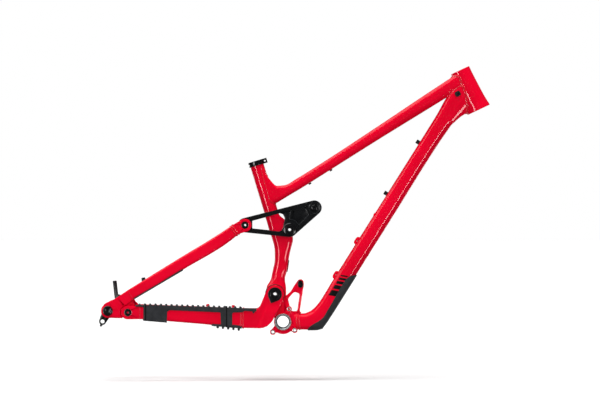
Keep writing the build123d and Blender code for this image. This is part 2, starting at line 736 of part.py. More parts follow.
lower_outline = ((-179.6, -4), (-179.6, -9.3), (-104, -16.3), (-104, -9), (-125, -6))
with BuildPart() as lower_guard:
    with BuildSketch(stay_face.offset(-13)):
        add(outline([(run(x), z) for x, z in lower_outline]))
    extrude(amount=14)
    for index in range(PEG_COUNT):
        place = -164.6 + index * PEG_PITCH
        foot = -12.8 - index * 1.6
        with BuildSketch(stay_face.offset(-11)):
            with Locations((run(place), foot)):
                Circle(PEG_R)
            with Locations((run(place), foot + 3.5)):
                Rectangle(2 * PEG_R - 1, 7)
        extrude(amount=11)
    add(chainstay_blank, mode=Mode.SUBTRACT)
    add(chainstay_guard.part, mode=Mode.SUBTRACT)
save("chainstay_lower_guard", lower_guard.part.solids().sort_by(SortBy.VOLUME)[-1])

with BuildPart() as hose_saddles:
    for place, inner_y in HOSE_SADDLES:
        with BuildSketch(side(inner_y)):
            with Locations((place, strip_top(place) + 0.4)):
                SlotOverall(9, 7)
        extrude(amount=8)
    add(mirrored(chainstay_blank), mode=Mode.SUBTRACT)
save("chainstay_hose_guides", hose_saddles.part)

# ---------------------------------------------------------------- seatstay
seatstay_blank = lofted(SEATSTAY)
with BuildPart() as seatstay_tube:
    add(seatstay_blank)
    add(lofted(SEATSTAY, TUBE_WALL), mode=Mode.SUBTRACT)
save("seatstay_tube_right", seatstay_tube.part)
save("seatstay_tube_left", mirrored(seatstay_tube.part))

with BuildSketch() as stay_eye_shape:
    with BuildLine():
        Polyline((-112.2, 223.4), (-129, 245.6), (-98, 262.2), (-86, 232.6), close=True)
    make_face()
    with Locations(STAY_PIVOT):
        Circle(STAY_EYE_R)
    make_hull()
recess_y = -EYE_OUTER_Y + STAY_RECESS
seatstay_head = drilled(
    slab(stay_eye_shape.sketch_local, -EYE_OUTER_Y, -EYE_INNER_Y),
    pin(STAY_PIVOT, -EYE_OUTER_Y, -EYE_INNER_Y, STAY_BOLT_R),
    pin(STAY_PIVOT, -EYE_OUTER_Y, recess_y, STAY_RECESS_R),
)
save("seatstay_head_right", seatstay_head)
save("seatstay_head_left", mirrored(seatstay_head))
stay_bolt = drilled(
    group(
        pin(STAY_PIVOT, recess_y, -ROCKER_INNER_Y - 0.5, STAY_BOLT_R, STAY_BORE_R),
        pin(STAY_PIVOT, -EYE_OUTER_Y - 0.5, recess_y, STAY_HEAD_R, STAY_BORE_R),
    ),
    pocket(STAY_PIVOT, -EYE_OUTER_Y - 0.5, -EYE_OUTER_Y + 2, 4.4),
)
save("seatstay_pivot_bolts", both_sides(stay_bolt))

bridge = drilled(pin(BRIDGE_AT, -44, 44, 9.5, 7.7), seatstay_blank, mirrored(seatstay_blank))
save("seatstay_bridge", bridge.solids().sort_by(SortBy.VOLUME)[-1])

hanger_hole = (-455.8, 2.9)
hanger_outer_y = -HUB_HALF - 5
with BuildSketch() as hanger_shape:
    add(hull((REAR_AXLE, 12.8), (hanger_hole, 8.9)))
    add(hull((hanger_hole, 5), ((-459.6, -7.2), 3)))
hanger = drilled(
    slab(hanger_shape.sketch_local, hanger_outer_y, -HUB_HALF),
    pin(hanger_hole, hanger_outer_y, -HUB_HALF, 5.0),
    pin(REAR_AXLE, hanger_outer_y, -HUB_HALF, THRU_AXLE_R),
)
save("derailleur_hanger", hanger)

dropout_outline = (
    (-442.3, 12), (-402, 11.1), (-396, 40), (-390.5, 48.5), (-378.3, 59.4), (-391.8, 81.9),
    (-418.4, 64.2), (-433.2, 55.2), (-446, 50.5), (-453, 45.2),
)
tab_outline = (
    (-425, 14), (-425, 50), (-400, 67), (-379.5, 60.5), (-381.5, 54), (-379, 49), (-373, 44.6),
    (-377, 34), (-382, 13),
)
dropout_outer_y = -HUB_HALF - DROPOUT_THICK
tab_floor_y = -TAB_INNER_Y - TAB_RECESS
with BuildPart() as dropout:
    add(slab(outline(dropout_outline), dropout_outer_y, -HUB_HALF))
    add(pin(REAR_AXLE, dropout_outer_y, -HUB_HALF, 17.5))
    add(pin(HORST_PIVOT, dropout_outer_y, -HUB_HALF, END_EYE_R + END_EYE_GAP), mode=Mode.SUBTRACT)
    add(slab(outline(tab_outline, 1.5), -TAB_OUTER_Y, -TAB_INNER_Y))
    add(pin(HORST_PIVOT, -TAB_OUTER_Y, -TAB_INNER_Y, 15))
    add(pin(HORST_PIVOT, -TAB_OUTER_Y, tab_floor_y, HORST_BOLT_R), mode=Mode.SUBTRACT)
    add(pin(REAR_AXLE, dropout_outer_y, -HUB_HALF, THRU_AXLE_R), mode=Mode.SUBTRACT)
    add(seatstay_blank, mode=Mode.SUBTRACT)
dropout_right = drilled(dropout.part, hanger, pin(hanger_hole, hanger_outer_y, -HUB_HALF, 8.9))
dropout_left = mirrored(dropout.part)
dropout_left = drilled(dropout_left, *(pin(spot, 60, 80, M6_R) for spot in MOUNT_BOLT_SPOTS))
save("dropout_right", dropout_right)
save("dropout_left", dropout_left)

horst_head_y = -END_OUTER_Y - HORST_HEAD_REACH
horst_bolt = drilled(
    group(
        pin(HORST_PIVOT, horst_head_y + 2 * HORST_HEAD_REACH, tab_floor_y, HORST_BOLT_R, HORST_BORE_R),
        pin(HORST_PIVOT, horst_head_y, horst_head_y + 2 * HORST_HEAD_REACH, HORST_HEAD_R, HORST_BORE_R),
    ),
    pocket(HORST_PIVOT, horst_head_y, -END_OUTER_Y + 1, 3.4),
)
save("horst_bolts", both_sides(horst_bolt))

axle_end = -dropout_outer_y
rear_axle = group(
    pin(REAR_AXLE, dropout_outer_y, axle_end, THRU_AXLE_R, AXLE_BORE_R),
    pin(REAR_AXLE, axle_end, axle_end + 3, 9, AXLE_BORE_R),
)
save("rear_axle", rear_axle)
cap_face_y = dropout_outer_y - AXLE_CAP_THICK
axle_cap = drilled(
    pin(REAR_AXLE, cap_face_y, dropout_outer_y, AXLE_CAP_R),
    pin(REAR_AXLE, cap_face_y, cap_face_y + 1.2, AXLE_CAP_R - 3.2),
    pocket(REAR_AXLE, cap_face_y, dropout_outer_y - 1, 4.6),
)
save("rear_axle_cap", axle_cap)

# Brake bracket, bolted inboard of the left dropout
rail_outline = (
    (-429, 58), (-425, 46), (-405, 49), (-385, 60), (-345, 84), (-346, 104), (-352, 108),
    (-356, 104), (-416, 66), (-426, 68),
)
post_axis = (-sin(radians(POST_TILT)), 0, cos(radians(POST_TILT)))
with BuildPart() as brake_mount:
    add(slab(outline(rail_outline, 1.5), RAIL_INNER_Y, RAIL_OUTER_Y))
    for top, length in ((REAR_POST, 45), (FRONT_POST, 22)):
        with BuildSketch(Plane((top[0], POST_Y, top[1]), (0, 1, 0), post_axis)):
            Circle(POST_R)
        extrude(amount=-length)
    for top in (REAR_POST, FRONT_POST):
        with BuildSketch(Plane((top[0], POST_Y, top[1]), (0, 1, 0), post_axis)):
            Circle(M6_R)
        extrude(amount=-16, mode=Mode.SUBTRACT)
    for spot in MOUNT_BOLT_SPOTS:
        add(pin(spot, 50, 80, M6_R), mode=Mode.SUBTRACT)
    add(mirrored(seatstay_blank), mode=Mode.SUBTRACT)
    add(dropout_left, mode=Mode.SUBTRACT)
save("brake_mount", brake_mount.part.solids().sort_by(SortBy.VOLUME)[-1])
mount_bolts = group(
    *(
        group(pin(spot, RAIL_INNER_Y, 80, M6_R), pin(spot, RAIL_INNER_Y - 3.5, RAIL_INNER_Y, 5))
        for spot in MOUNT_BOLT_SPOTS
    )
)
save("brake_mount_bolts", mount_bolts)

strip_region = ((-377, 61.5), (-254, 135.5), (-250, 128), (-374, 53))
with BuildPart() as seatstay_guard:
    add(lofted(SEATSTAY[:4], -STRIP_WALL))
    add(slab(outline(strip_region), -100, -40), mode=Mode.INTERSECT)
    add(seatstay_blank, mode=Mode.SUBTRACT)
save("seatstay_guard", seatstay_guard.part.solids().sort_by(SortBy.VOLUME)[-1])

# ---------------------------------------------------------------- rocker
rocker_window = (
    (-78.5, 237.2), (-78.5, 256.6), (-50, 264.2), (-8, 276.2), (0, 273.5), (4.6, 264),
    (0.5, 240), (-4, 232), (-10, 230),
)
rocker_pocket = (
    (16.1, 261), (19.1, 281), (24.5, 283.5), (55, 289), (58.5, 285.5), (61, 278), (65.9, 272.7),
    (41, 247.3), (37, 250.5), (33, 256), (25.1, 259.5),
)
with BuildPart() as rocker_plate:
    add(
        slab(
            hull((STAY_PIVOT, 18.4), (ROCKER_PIVOT, 18.4), (SHOCK_TOP, 18.8)),
            -ROCKER_OUTER_Y,
            -ROCKER_INNER_Y,
        )
    )
    add(slab(outline(rocker_window, 1.5), -ROCKER_OUTER_Y, -ROCKER_INNER_Y), mode=Mode.SUBTRACT)
    add(slab(outline(rocker_pocket, 1.5), -ROCKER_OUTER_Y, -ROCKER_OUTER_Y + 2.5), mode=Mode.SUBTRACT)
    add(pin(SHOCK_TOP, -ROCKER_OUTER_Y, -ROCKER_OUTER_Y + 2, UPPER_RECESS_R), mode=Mode.SUBTRACT)
    add(pin(SHOCK_TOP, -ROCKER_OUTER_Y, -ROCKER_INNER_Y, SHOCK_BOLT_R), mode=Mode.SUBTRACT)
    add(pin(ROCKER_PIVOT, -ROCKER_OUTER_Y, -ROCKER_INNER_Y, ROCKER_BEARING_R), mode=Mode.SUBTRACT)
    add(
        pin(STAY_PIVOT, -ROCKER_OUTER_Y, -ROCKER_INNER_Y, STAY_BOLT_R + OPEN_PIVOT_GAP),
        mode=Mode.SUBTRACT,
    )
save("rocker_plate_right", rocker_plate.part)
save("rocker_plate_left", mirrored(rocker_plate.part))
rocker_bearing = pin(
    ROCKER_PIVOT, -ROCKER_OUTER_Y, -ROCKER_INNER_Y, ROCKER_BEARING_R, ROCKER_AXLE_R + RUNNING_GAP
)
save("rocker_bearings", both_sides(rocker_bearing))
upper_bolt = drilled(
    group(
        pin(SHOCK_TOP, -ROCKER_OUTER_Y + 2, ROCKER_OUTER_Y - 2, SHOCK_BOLT_R),
        pin(SHOCK_TOP, -ROCKER_OUTER_Y - 1, -ROCKER_OUTER_Y + 2, UPPER_HEAD_R),
    ),
    pocket(SHOCK_TOP, -ROCKER_OUTER_Y - 1, -ROCKER_OUTER_Y + 1.5, 3.4),
)
save("upper_shock_bolt", upper_bolt)
upper_nut = pin(SHOCK_TOP, ROCKER_OUTER_Y - 2, ROCKER_OUTER_Y + 2, UPPER_HEAD_R, SHOCK_BOLT_R)
save("upper_shock_nut", upper_nut)
spacer = pin(SHOCK_TOP, -ROCKER_INNER_Y, -SPACER_INNER_Y, UPPER_HEAD_R, SHOCK_BOLT_R)
save("upper_shock_spacers", both_sides(spacer))
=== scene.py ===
import json
from math import atan2, cos, hypot, pi, radians, sin, tan

import bmesh
import bpy
import numpy as np
from mathutils import Matrix, Vector
from mathutils.bvhtree import BVHTree


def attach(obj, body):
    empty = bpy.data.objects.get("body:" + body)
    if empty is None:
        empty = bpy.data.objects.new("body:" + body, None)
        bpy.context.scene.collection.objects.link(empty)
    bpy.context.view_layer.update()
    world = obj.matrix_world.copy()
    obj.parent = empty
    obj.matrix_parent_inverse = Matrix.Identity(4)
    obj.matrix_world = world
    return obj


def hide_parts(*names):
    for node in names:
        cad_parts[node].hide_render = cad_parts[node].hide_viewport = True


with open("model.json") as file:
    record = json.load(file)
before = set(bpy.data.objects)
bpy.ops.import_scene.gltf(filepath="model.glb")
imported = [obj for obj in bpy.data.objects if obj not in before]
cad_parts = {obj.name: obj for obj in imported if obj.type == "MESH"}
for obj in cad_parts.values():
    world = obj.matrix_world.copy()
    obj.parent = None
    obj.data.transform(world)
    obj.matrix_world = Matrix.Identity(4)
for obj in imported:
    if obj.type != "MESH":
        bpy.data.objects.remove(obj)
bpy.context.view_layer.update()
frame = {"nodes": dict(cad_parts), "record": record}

MM = 0.001
SCENE = bpy.context.scene

# ---------------------------------------------------------------- dimensions
# In mm, as in the CAD source: points are (x, z) pairs on the mid-plane. A tube is a row of stations,
# each with its lower point, upper point, distance to the side, width and corner radius.
MAIN_PIVOT = (-20.3, 70.3)
HORST_PIVOT = (-391.4, 25.6)
ROCKER_PIVOT = (16.9, 234.1)
SHOCK_TOP = (79.8, 290.1)
REAR_AXLE = (-442.3, 29.6)
HEAD_BOTTOM = (499.0, 539.6)
HEAD_ANGLE = 115.2
SEAT_FOOT = (-31.9, 285.0)
SEAT_ANGLE = 106.94
SEAT_R = 17.45
SEAT_LENGTH = 128.0
SEATPOST_R = 15.5
SHELL_R = 21.1
SHELL_HALF = 36.5
MAST_HOLE_R = 8.6
ROCKER_HOLE_R = 7.6
YOKE_HOLE_R = 13.8
MAST_HALF = 22.0
ROCKER_BOSS_R = 17.3
MAIN_BOSS_HALF = 23.5
MAIN_BOSS_R = 24.5
AXLE_CAP_FACE_Y = -88.0
AXLE_CAP_R = 12.7
AXLE_CAP_THICK = 4.0

TOP_TUBE = (
    ((-35, 297), (-58, 400), 0, 33, 11),
    ((-17, 302), (-32, 360.5), 0, 34, 11),
    ((-4, 309.5), (-16, 346), 0, 37, 11),
    ((14, 320.5), (3, 347.5), 0, 39, 11),
    ((50, 342), (36, 365), 0, 40, 11),
    ((100, 373.5), (85, 395.2), 0, 42, 11),
    ((250, 468), (234, 492.5), 0, 44, 12),
    ((380, 548), (361, 577.3), 0, 46, 13),
    ((472, 605), (452, 637), 0, 47.5, 13),
)
DOWN_TUBE = (
    ((29, -19.5), (29, 21), 0, 54, 13),
    ((60, -20), (52, 20.5), 0, 55, 14),
    ((86, -19.5), (67, 25), 0, 57, 15),
    ((99.5, -16), (79, 33.5), 0, 58, 16),
    ((112, 1), (89, 44.5), 0, 57.5, 16),
    ((130, 29.5), (98, 57), 0, 56.5, 15),
    ((160, 77.2), (124, 99.7), 0, 55, 15),
    ((280, 268.2), (244, 290.7), 0, 53, 15),
    ((400, 459), (364, 481.5), 0, 51, 15),
    ((423, 492), (387, 518.5), 0, 50.6, 15),
    ((430, 502), (394, 530), 0, 50.5, 15),
    ((437, 508), (399.5, 540), 0, 50.3, 15),
    ((452, 521), (412, 563), 0, 50, 15),
    ((474, 535), (434, 596), 0, 49.5, 15),
    ((497, 549), (464, 617), 0, 48.5, 15),
)
MAST = (
    ((-48.6, 279.9), (-15.2, 290.1), 0, 34.9, 16.5),
    ((-45, 266), (-10, 273), 0, 37, 16),
    ((-41.5, 255), (4, 260), 0, 40, 15),
    ((-35.3, 233.3), (22, 238), 0, 42, 15),
    ((-27, 208.4), (25.3, 208.4), 0, 41, 15),
    ((-21.5, 182.5), (19.8, 182.5), 0, 40, 15),
    ((-21.2, 157.6), (14.6, 157.6), 0, 39, 15),
    ((-26.1, 131.7), (10.9, 131.7), 0, 40, 15),
    ((-31.5, 106.7), (5.0, 106.7), 0, 42, 15),
    ((-42, 86), (8, 84), 0, 43, 14),
    ((-42, 60), (8, 60), 0, 44, 12),
    ((-32, 32), (10, 32), 0, 46, 12),
    ((-19, 4), (14, 4), 0, 48, 12),
)
CHAINSTAY = (
    ((-361, 9), (-361, 41.6), -82, 11.2, 4),
    ((-230, -2), (-230, 37.5), -61.8, 15, 6),
    ((-101, -14.5), (-101, 33), -42, 16, 6),
)
SEATSTAY = (
    ((-378.3, 59.4), (-391.8, 81.9), -79, 10, 4.4),
    ((-344.8, 79.1), (-358.9, 102.6), -78.6, 11, 5),
    ((-247.1, 136.7), (-262.5, 162.4), -62, 15, 6.5),
    ((-150, 194.3), (-166, 221), -43, 13, 6),
    ((-112.2, 223.4), (-129, 245.6), -38.5, 11, 5),
)


# ---------------------------------------------------------------- camera, light and floor
FLOOR_Z = -0.150


def make_camera():
    """A long lens, square on to the drive side."""
    data = bpy.data.cameras.new("camera")
    data.lens = 211.8
    data.sensor_width = 36
    data.clip_end = 100
    camera = bpy.data.objects.new("camera", data)
    SCENE.collection.objects.link(camera)
    camera.location = (0.04335, -9.0, 0.3098)
    camera.rotation_euler = (pi / 2, 0, 0)
    SCENE.camera = camera


def aimed(obj, place, target):
    """Stand a light at a place, facing a target."""
    obj.location = place
    obj.rotation_euler = (Vector(target) - Vector(place)).to_track_quat("-Z", "Y").to_euler()


def softbox(name, place, target, size, power):
    """A lamp that only shows as a highlight on glossy surfaces."""
    data = bpy.data.lights.new(name, "AREA")
    data.shape = "RECTANGLE"
    data.size, data.size_y = size
    data.energy = power
    lamp = bpy.data.objects.new(name, data)
    SCENE.collection.objects.link(lamp)
    aimed(lamp, place, target)
    lamp.visible_diffuse = False
    lamp.visible_camera = False


def make_world():
    """A white room to the eye, dimmer than that to the object so that its colour stays full.

    Reflections meet a darker room still, where the softboxes stand out.
    """
    world = bpy.data.worlds.new("studio")
    world.use_nodes = True
    tree = world.node_tree
    tree.nodes.clear()
    out = tree.nodes.new("ShaderNodeOutputWorld")
    path = tree.nodes.new("ShaderNodeLightPath")
    base = None
    for strength, ray in ((0.42, None), (0.07, "Is Glossy Ray"), (1.0, "Is Camera Ray")):
        room = tree.nodes.new("ShaderNodeBackground")
        room.inputs["Color"].default_value = (1, 1, 1, 1)
        room.inputs["Strength"].default_value = strength
        if base is None:
            base = room.outputs[0]
            continue
        mix = tree.nodes.new("ShaderNodeMixShader")
        tree.links.new(path.outputs[ray], mix.inputs[0])
        tree.links.new(base, mix.inputs[1])
        tree.links.new(room.outputs[0], mix.inputs[2])
        base = mix.outputs[0]
    tree.links.new(base, out.inputs[0])
    SCENE.world = world


def sunlight(name, energy, spread, tilt):
    """A distant soft light; a tilt of 0 shines straight down and a positive one towards the back."""
    data = bpy.data.lights.new(name, "SUN")
    data.energy = energy
    data.angle = radians(spread)
    lamp = bpy.data.objects.new(name, data)
    SCENE.collection.objects.link(lamp)
    lamp.rotation_euler = (radians(tilt), 0, 0)
    lamp.visible_glossy = False


def make_lights():
    """Three soft suns for the colour and six softboxes, given a radiance, for the highlights."""
    sunlight("overhead", 2.2, 38, 15)
    sunlight("front_fill", 1.0, 60, 75)
    sunlight("back_fill", 1.2, 60, -75)
    centre = (0.04, 0, 0.25)
    for name, place, size, radiance in (
        ("overhead_box", (-0.9, 0, 3.4), (4.4, 3.0), 2.6),
        ("rear_top", (-3.6, 0, 2.4), (4.2, 2.2), 2.6),
        ("rear_side", (-2.6, -3.6, -0.05), (0.95, 2.3), 13),
        ("front_low", (2.1, -2.2, -0.68), (1.2, 0.9), 12),
        ("back_side", (-2.6, 3.6, -0.05), (0.95, 2.3), 4),
        ("back_low", (2.1, 2.2, -0.68), (1.2, 0.9), 4),
    ):
        softbox(name, place, centre, size, radiance * pi * size[0] * size[1])


def make_floor():
    """A plain pale floor that catches the shadow and is not mirrored in the paint."""
    mesh = bpy.data.meshes.new("floor")
    reach = 30.0
    corners = [(x * reach, y * reach, FLOOR_Z) for x, y in ((-1, -1), (1, -1), (1, 1), (-1, 1))]
    mesh.from_pydata(corners, [], [(0, 1, 2, 3)])
    floor = bpy.data.objects.new("floor", mesh)
    SCENE.collection.objects.link(floor)
    material = bpy.data.materials.new("floor")
    material.use_nodes = True
    shader = material.node_tree.nodes["Principled BSDF"]
    shader.inputs["Base Color"].default_value = (0.86, 0.86, 0.86, 1)
    shader.inputs["Roughness"].default_value = 0.9
    shader.inputs["Specular IOR Level"].default_value = 0.0
    mesh.materials.append(material)
    floor.visible_glossy = False
    floor.visible_diffuse = False
    floor.visible_shadow = False


SCENE.view_settings.view_transform = "Standard"
make_camera()
make_world()
make_lights()
make_floor()


# ---------------------------------------------------------------- materials
class Nodes:
    """Short calls for building one material's node tree."""

    def __init__(self, name):
        self.material = bpy.data.materials.new(name)
        self.material.use_nodes = True
        self.tree = self.material.node_tree
        self.shader = self.tree.nodes["Principled BSDF"]
        coordinates = self.tree.nodes.new("ShaderNodeTexCoord")
        self.place = coordinates.outputs["Object"]

    def add(self, kind, inputs=(), **settings):
        node = self.tree.nodes.new(kind)
        for key, value in settings.items():
            setattr(node, key, value)
        for key, value in dict(inputs).items():
            self.put(node.inputs[key], value)
        return node

    def put(self, socket, value):
        if isinstance(value, bpy.types.NodeSocket):
            self.tree.links.new(value, socket)
        else:
            socket.default_value = value

    def set(self, **values):
        for key, value in values.items():
            self.put(self.shader.inputs[key.replace("_", " ")], value)

    def noise(self, scale, detail=2.0, rough=0.5, stretch=(1, 1, 1)):
        mapping = self.add("ShaderNodeMapping", {"Vector": self.place, "Scale": stretch})
        return self.add(
            "ShaderNodeTexNoise",
            {"Vector": mapping.outputs[0], "Scale": scale, "Detail": detail, "Roughness": rough},
        ).outputs["Fac"]

    def ramp(self, value, low, high, start=0.0, end=1.0):
        """Spread a value between two colours or two grey levels."""
        node = self.add("ShaderNodeValToRGB", {"Fac": value})
        node.color_ramp.elements[0].position = start
        node.color_ramp.elements[1].position = end
        for element, level in zip(node.color_ramp.elements, (low, high)):
            element.color = (*level, 1) if isinstance(level, tuple) else (level, level, level, 1)
        return node.outputs["Color"]

    def bump(self, height, strength, distance, normal=None):
        inputs = {"Height": height, "Strength": strength, "Distance": distance}
        if normal is not None:
            inputs["Normal"] = normal
        return self.add("ShaderNodeBump", inputs).outputs[0]

    def edges(self, radius, spread=0.35):
        """White where a surface bends sharply within a radius, black where it is flat."""
        soft = self.add("ShaderNodeBevel", {"Radius": radius}, samples=4)
        geometry = self.add("ShaderNodeNewGeometry")
        dot = self.add("ShaderNodeVectorMath", operation="DOT_PRODUCT")
        self.put(dot.inputs[0], soft.outputs[0])
        self.put(dot.inputs[1], geometry.outputs["Normal"])
        return self.ramp(dot.outputs["Value"], 1.0, 0.0, 1.0 - spread, 1.0)


def red_paint():
    """Powder coat under clear lacquer: fine orange peel, a little colour drift and dust."""
    n = Nodes("red_paint")
    drift = n.ramp(n.noise(9.0, 3.0), (0.80, 0.0, 0.021), (0.90, 0.0, 0.026), 0.35, 0.65)
    speck = n.noise(900.0, 1.0)
    colour = n.add("ShaderNodeMix", {0: 0.06}, data_type="RGBA", blend_type="MULTIPLY")
    n.put(colour.inputs[6], drift)
    n.put(colour.inputs[7], n.ramp(speck, 0.55, 1.0, 0.35, 0.6))
    peel = n.noise(420.0, 2.0, 0.55)
    normal = n.bump(peel, 0.04, 0.0002)
    n.set(
        Base_Color=colour.outputs[2],
        Roughness=n.ramp(n.noise(60.0, 3.0), 0.34, 0.46, 0.3, 0.7),
        Normal=normal,
        Specular_IOR_Level=0.0,
        Coat_Weight=0.6,
        Coat_Roughness=0.06,
        Coat_IOR=1.5,
    )
    n.put(n.shader.inputs["Coat Normal"], n.bump(n.noise(300.0, 1.5), 0.01, 0.0001))
    return n.material


def weld_paint():
    """The same red over a weld, where the coat is thicker and duller."""
    n = Nodes("weld_paint")
    tone = n.ramp(n.noise(140.0, 3.0), (0.70, 0.0, 0.017), (0.88, 0.0, 0.025), 0.3, 0.7)
    n.set(
        Base_Color=tone,
        Roughness=n.ramp(n.noise(200.0, 3.0), 0.32, 0.5, 0.3, 0.7),
        Normal=n.bump(n.noise(700.0, 2.0), 0.25, 0.0003),
        Specular_IOR_Level=0.15,
        Coat_Weight=0.9,
        Coat_Roughness=0.09,
    )
    return n.material


def black_anodised():
    """Machined and anodised: fine cutter lines, and edges painted lighter, partly for wear and partly as a
    painted highlight.
    """
    n = Nodes("black_anodised")
    lines = n.add("ShaderNodeTexNoise", {"Scale": 260.0, "Detail": 2.0})
    mapping = n.add("ShaderNodeMapping", {"Vector": n.place, "Scale": (1, 1, 14)})
    n.put(lines.inputs["Vector"], mapping.outputs[0])
    # The lighter colour on sharp edges is partly wear and partly a painted highlight.
    lighter_edges = n.edges(0.0009, 0.25)
    base = n.ramp(n.noise(35.0, 4.0), (0.0016, 0.0019, 0.0024), (0.0040, 0.0048, 0.0062), 0.3, 0.7)
    colour = n.add("ShaderNodeMix", {0: lighter_edges, 7: (0.10, 0.106, 0.116, 1)}, data_type="RGBA")
    n.put(colour.inputs[6], base)
    n.set(
        Base_Color=colour.outputs[2],
        Metallic=0.0,
        Roughness=n.ramp(lines.outputs["Fac"], 0.22, 0.36, 0.3, 0.7),
        Specular_IOR_Level=0.34,
        Normal=n.bump(lines.outputs["Fac"], 0.10, 0.0001),
    )
    return n.material


def bolt_black():
    """Hard-anodised fasteners, a touch glossier than the plates, with rims painted lighter, partly for wear
    and partly as a painted highlight.
    """
    n = Nodes("bolt_black")
    # Rims painted lighter: partly wear, partly a painted highlight.
    lighter_edges = n.edges(0.0005)
    base = n.ramp(n.noise(300.0, 3.0), (0.0015, 0.0015, 0.0018), (0.005, 0.005, 0.006), 0.3, 0.7)
    colour = n.add("ShaderNodeMix", {0: lighter_edges, 7: (0.08, 0.084, 0.092, 1)}, data_type="RGBA")
    n.put(colour.inputs[6], base)
    n.set(
        Base_Color=colour.outputs[2],
        Roughness=n.ramp(n.noise(900.0, 2.0), 0.13, 0.24, 0.3, 0.7),
        Specular_IOR_Level=0.5,
        Normal=n.bump(n.noise(1500.0, 1.0), 0.06, 0.0001),
    )
    return n.material


def guard_rubber():
    """Matt moulded rubber: fine grain, lighter scuffed ridges and dust in the hollows."""
    n = Nodes("guard_rubber")
    grain = n.noise(1800.0, 2.0, 0.7)
    lighter_edges = n.edges(0.0011, 0.5)
    base = n.ramp(n.noise(45.0, 5.0, 0.65), (0.0135, 0.0145, 0.0175), (0.027, 0.0288, 0.0335), 0.3, 0.72)
    colour = n.add("ShaderNodeMix", {0: lighter_edges, 7: (0.052, 0.055, 0.062, 1)}, data_type="RGBA")
    n.put(colour.inputs[6], base)
    n.set(
        Base_Color=colour.outputs[2],
        Roughness=n.ramp(n.noise(120.0, 3.0), 0.62, 0.82, 0.3, 0.7),
        Specular_IOR_Level=0.25,
        Sheen_Weight=0.1,
        Sheen_Roughness=0.5,
        Normal=n.bump(grain, 0.22, 0.0003),
    )
    return n.material


def bright_metal(name, low, high, rough_low, rough_high, stretch):
    """Turned or machined bare metal, with tool marks."""
    n = Nodes(name)
    marks = n.noise(500.0, 3.0, 0.6, stretch)
    n.set(
        Base_Color=n.ramp(n.noise(90.0, 4.0), low, high, 0.3, 0.7),
        Metallic=0.85,
        Roughness=n.ramp(marks, rough_low, rough_high, 0.3, 0.7),
        Normal=n.bump(marks, 0.12, 0.0001),
    )
    return n.material


def moulded_plastic():
    """Small black fittings with a spark-eroded mould grain."""
    n = Nodes("moulded_plastic")
    grain = n.noise(2200.0, 2.0, 0.6)
    n.set(
        Base_Color=n.ramp(n.noise(150.0, 3.0), (0.003, 0.003, 0.0035), (0.007, 0.007, 0.008), 0.3, 0.7),
        Roughness=n.ramp(n.noise(500.0, 2.0), 0.4, 0.58, 0.3, 0.7),
        Specular_IOR_Level=0.4,
        Normal=n.bump(grain, 0.18, 0.0002),
    )
    return n.material


def graphic_black():
    """Screen-printed satin ink."""
    n = Nodes("graphic_black")
    n.set(
        Base_Color=n.ramp(n.noise(400.0, 3.0), (0.0012, 0.0012, 0.0014), (0.0030, 0.0030, 0.0034), 0.3, 0.7),
        Roughness=n.ramp(n.noise(900.0, 2.0), 0.38, 0.5, 0.3, 0.7),
        Specular_IOR_Level=0.15,
        Normal=n.bump(n.noise(420.0, 2.0), 0.08, 0.0002),
    )
    return n.material


PAINT = red_paint()
WELD = weld_paint()
BLACK = black_anodised()
BOLT = bolt_black()
RUBBER = guard_rubber()
STEEL = bright_metal("bearing_steel", (0.42, 0.42, 0.43), (0.56, 0.56, 0.57), 0.18, 0.34, (1, 1, 1))
RAW = bright_metal("turned_aluminium", (0.74, 0.75, 0.77), (0.90, 0.91, 0.92), 0.16, 0.36, (1, 30, 1))
PLASTIC = moulded_plastic()
INK = graphic_black()
LOOKS = {
    "frame_paint": PAINT,
    "anodised_black": BLACK,
    "guard_rubber": RUBBER,
    "bearing_steel": STEEL,
    "machined_aluminium": RAW,
    "bolt_black": BOLT,
    "fitting_plastic": PLASTIC,
}
SLOT_OF = {part["node"]: part["material_slot"] for part in frame["record"]["subparts"]}
BODY_OF = {node: body for body, nodes in frame["record"]["behaviour"]["bodies"].items() for node in nodes}


# ---------------------------------------------------------------- mesh helpers
def close_up(name, bm, material, body, replaced=(), sharp=32):
    """Turn a bmesh into a shown piece: smooth but for its sharp edges, painted, and riding on a body."""
    bmesh.ops.recalc_face_normals(bm, faces=bm.faces)
    limit = radians(sharp)
    for face in bm.faces:
        face.smooth = True
    for edge in bm.edges:
        edge.smooth = not (len(edge.link_faces) == 2 and edge.calc_face_angle(0) > limit)
    mesh = bpy.data.meshes.new(name)
    bm.to_mesh(mesh)
    bm.free()
    mesh.materials.append(material)
    piece = bpy.data.objects.new(name, mesh)
    SCENE.collection.objects.link(piece)
    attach(piece, body)
    if replaced:
        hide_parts(*replaced)
    return piece


def modified(bm, *modifiers):
    """The same mesh after modifiers given as (kind, settings)."""
    mesh = bpy.data.meshes.new("working")
    bm.to_mesh(mesh)
    bm.free()
    holder = bpy.data.objects.new("working", mesh)
    SCENE.collection.objects.link(holder)
    for kind, settings in modifiers:
        modifier = holder.modifiers.new(kind, kind)
        for key, value in settings.items():
            setattr(modifier, key, value)
    bpy.context.view_layer.update()
    result = holder.evaluated_get(bpy.context.evaluated_depsgraph_get()).to_mesh()
    made = bmesh.new()
    made.from_mesh(result)
    bpy.data.objects.remove(holder)
    bpy.data.meshes.remove(mesh)
    return made


def combined(bm, other, operation):
    """One closed mesh joined with, cut by or limited to another."""
    mesh = bpy.data.meshes.new("tool")
    other.to_mesh(mesh)
    other.free()
    tool = bpy.data.objects.new("tool", mesh)
    SCENE.collection.objects.link(tool)
    made = modified(bm, ("BOOLEAN", {"object": tool, "operation": operation, "solver": "EXACT"}))
    bpy.data.objects.remove(tool)
    bpy.data.meshes.remove(mesh)
    return made


def merged(*meshes):
    """Several meshes in one, not joined at their faces."""
    made = bmesh.new()
    for bm in meshes:
        mesh = bpy.data.meshes.new("part")
        bm.to_mesh(mesh)
        bm.free()
        made.from_mesh(mesh)
        bpy.data.meshes.remove(mesh)
    return made


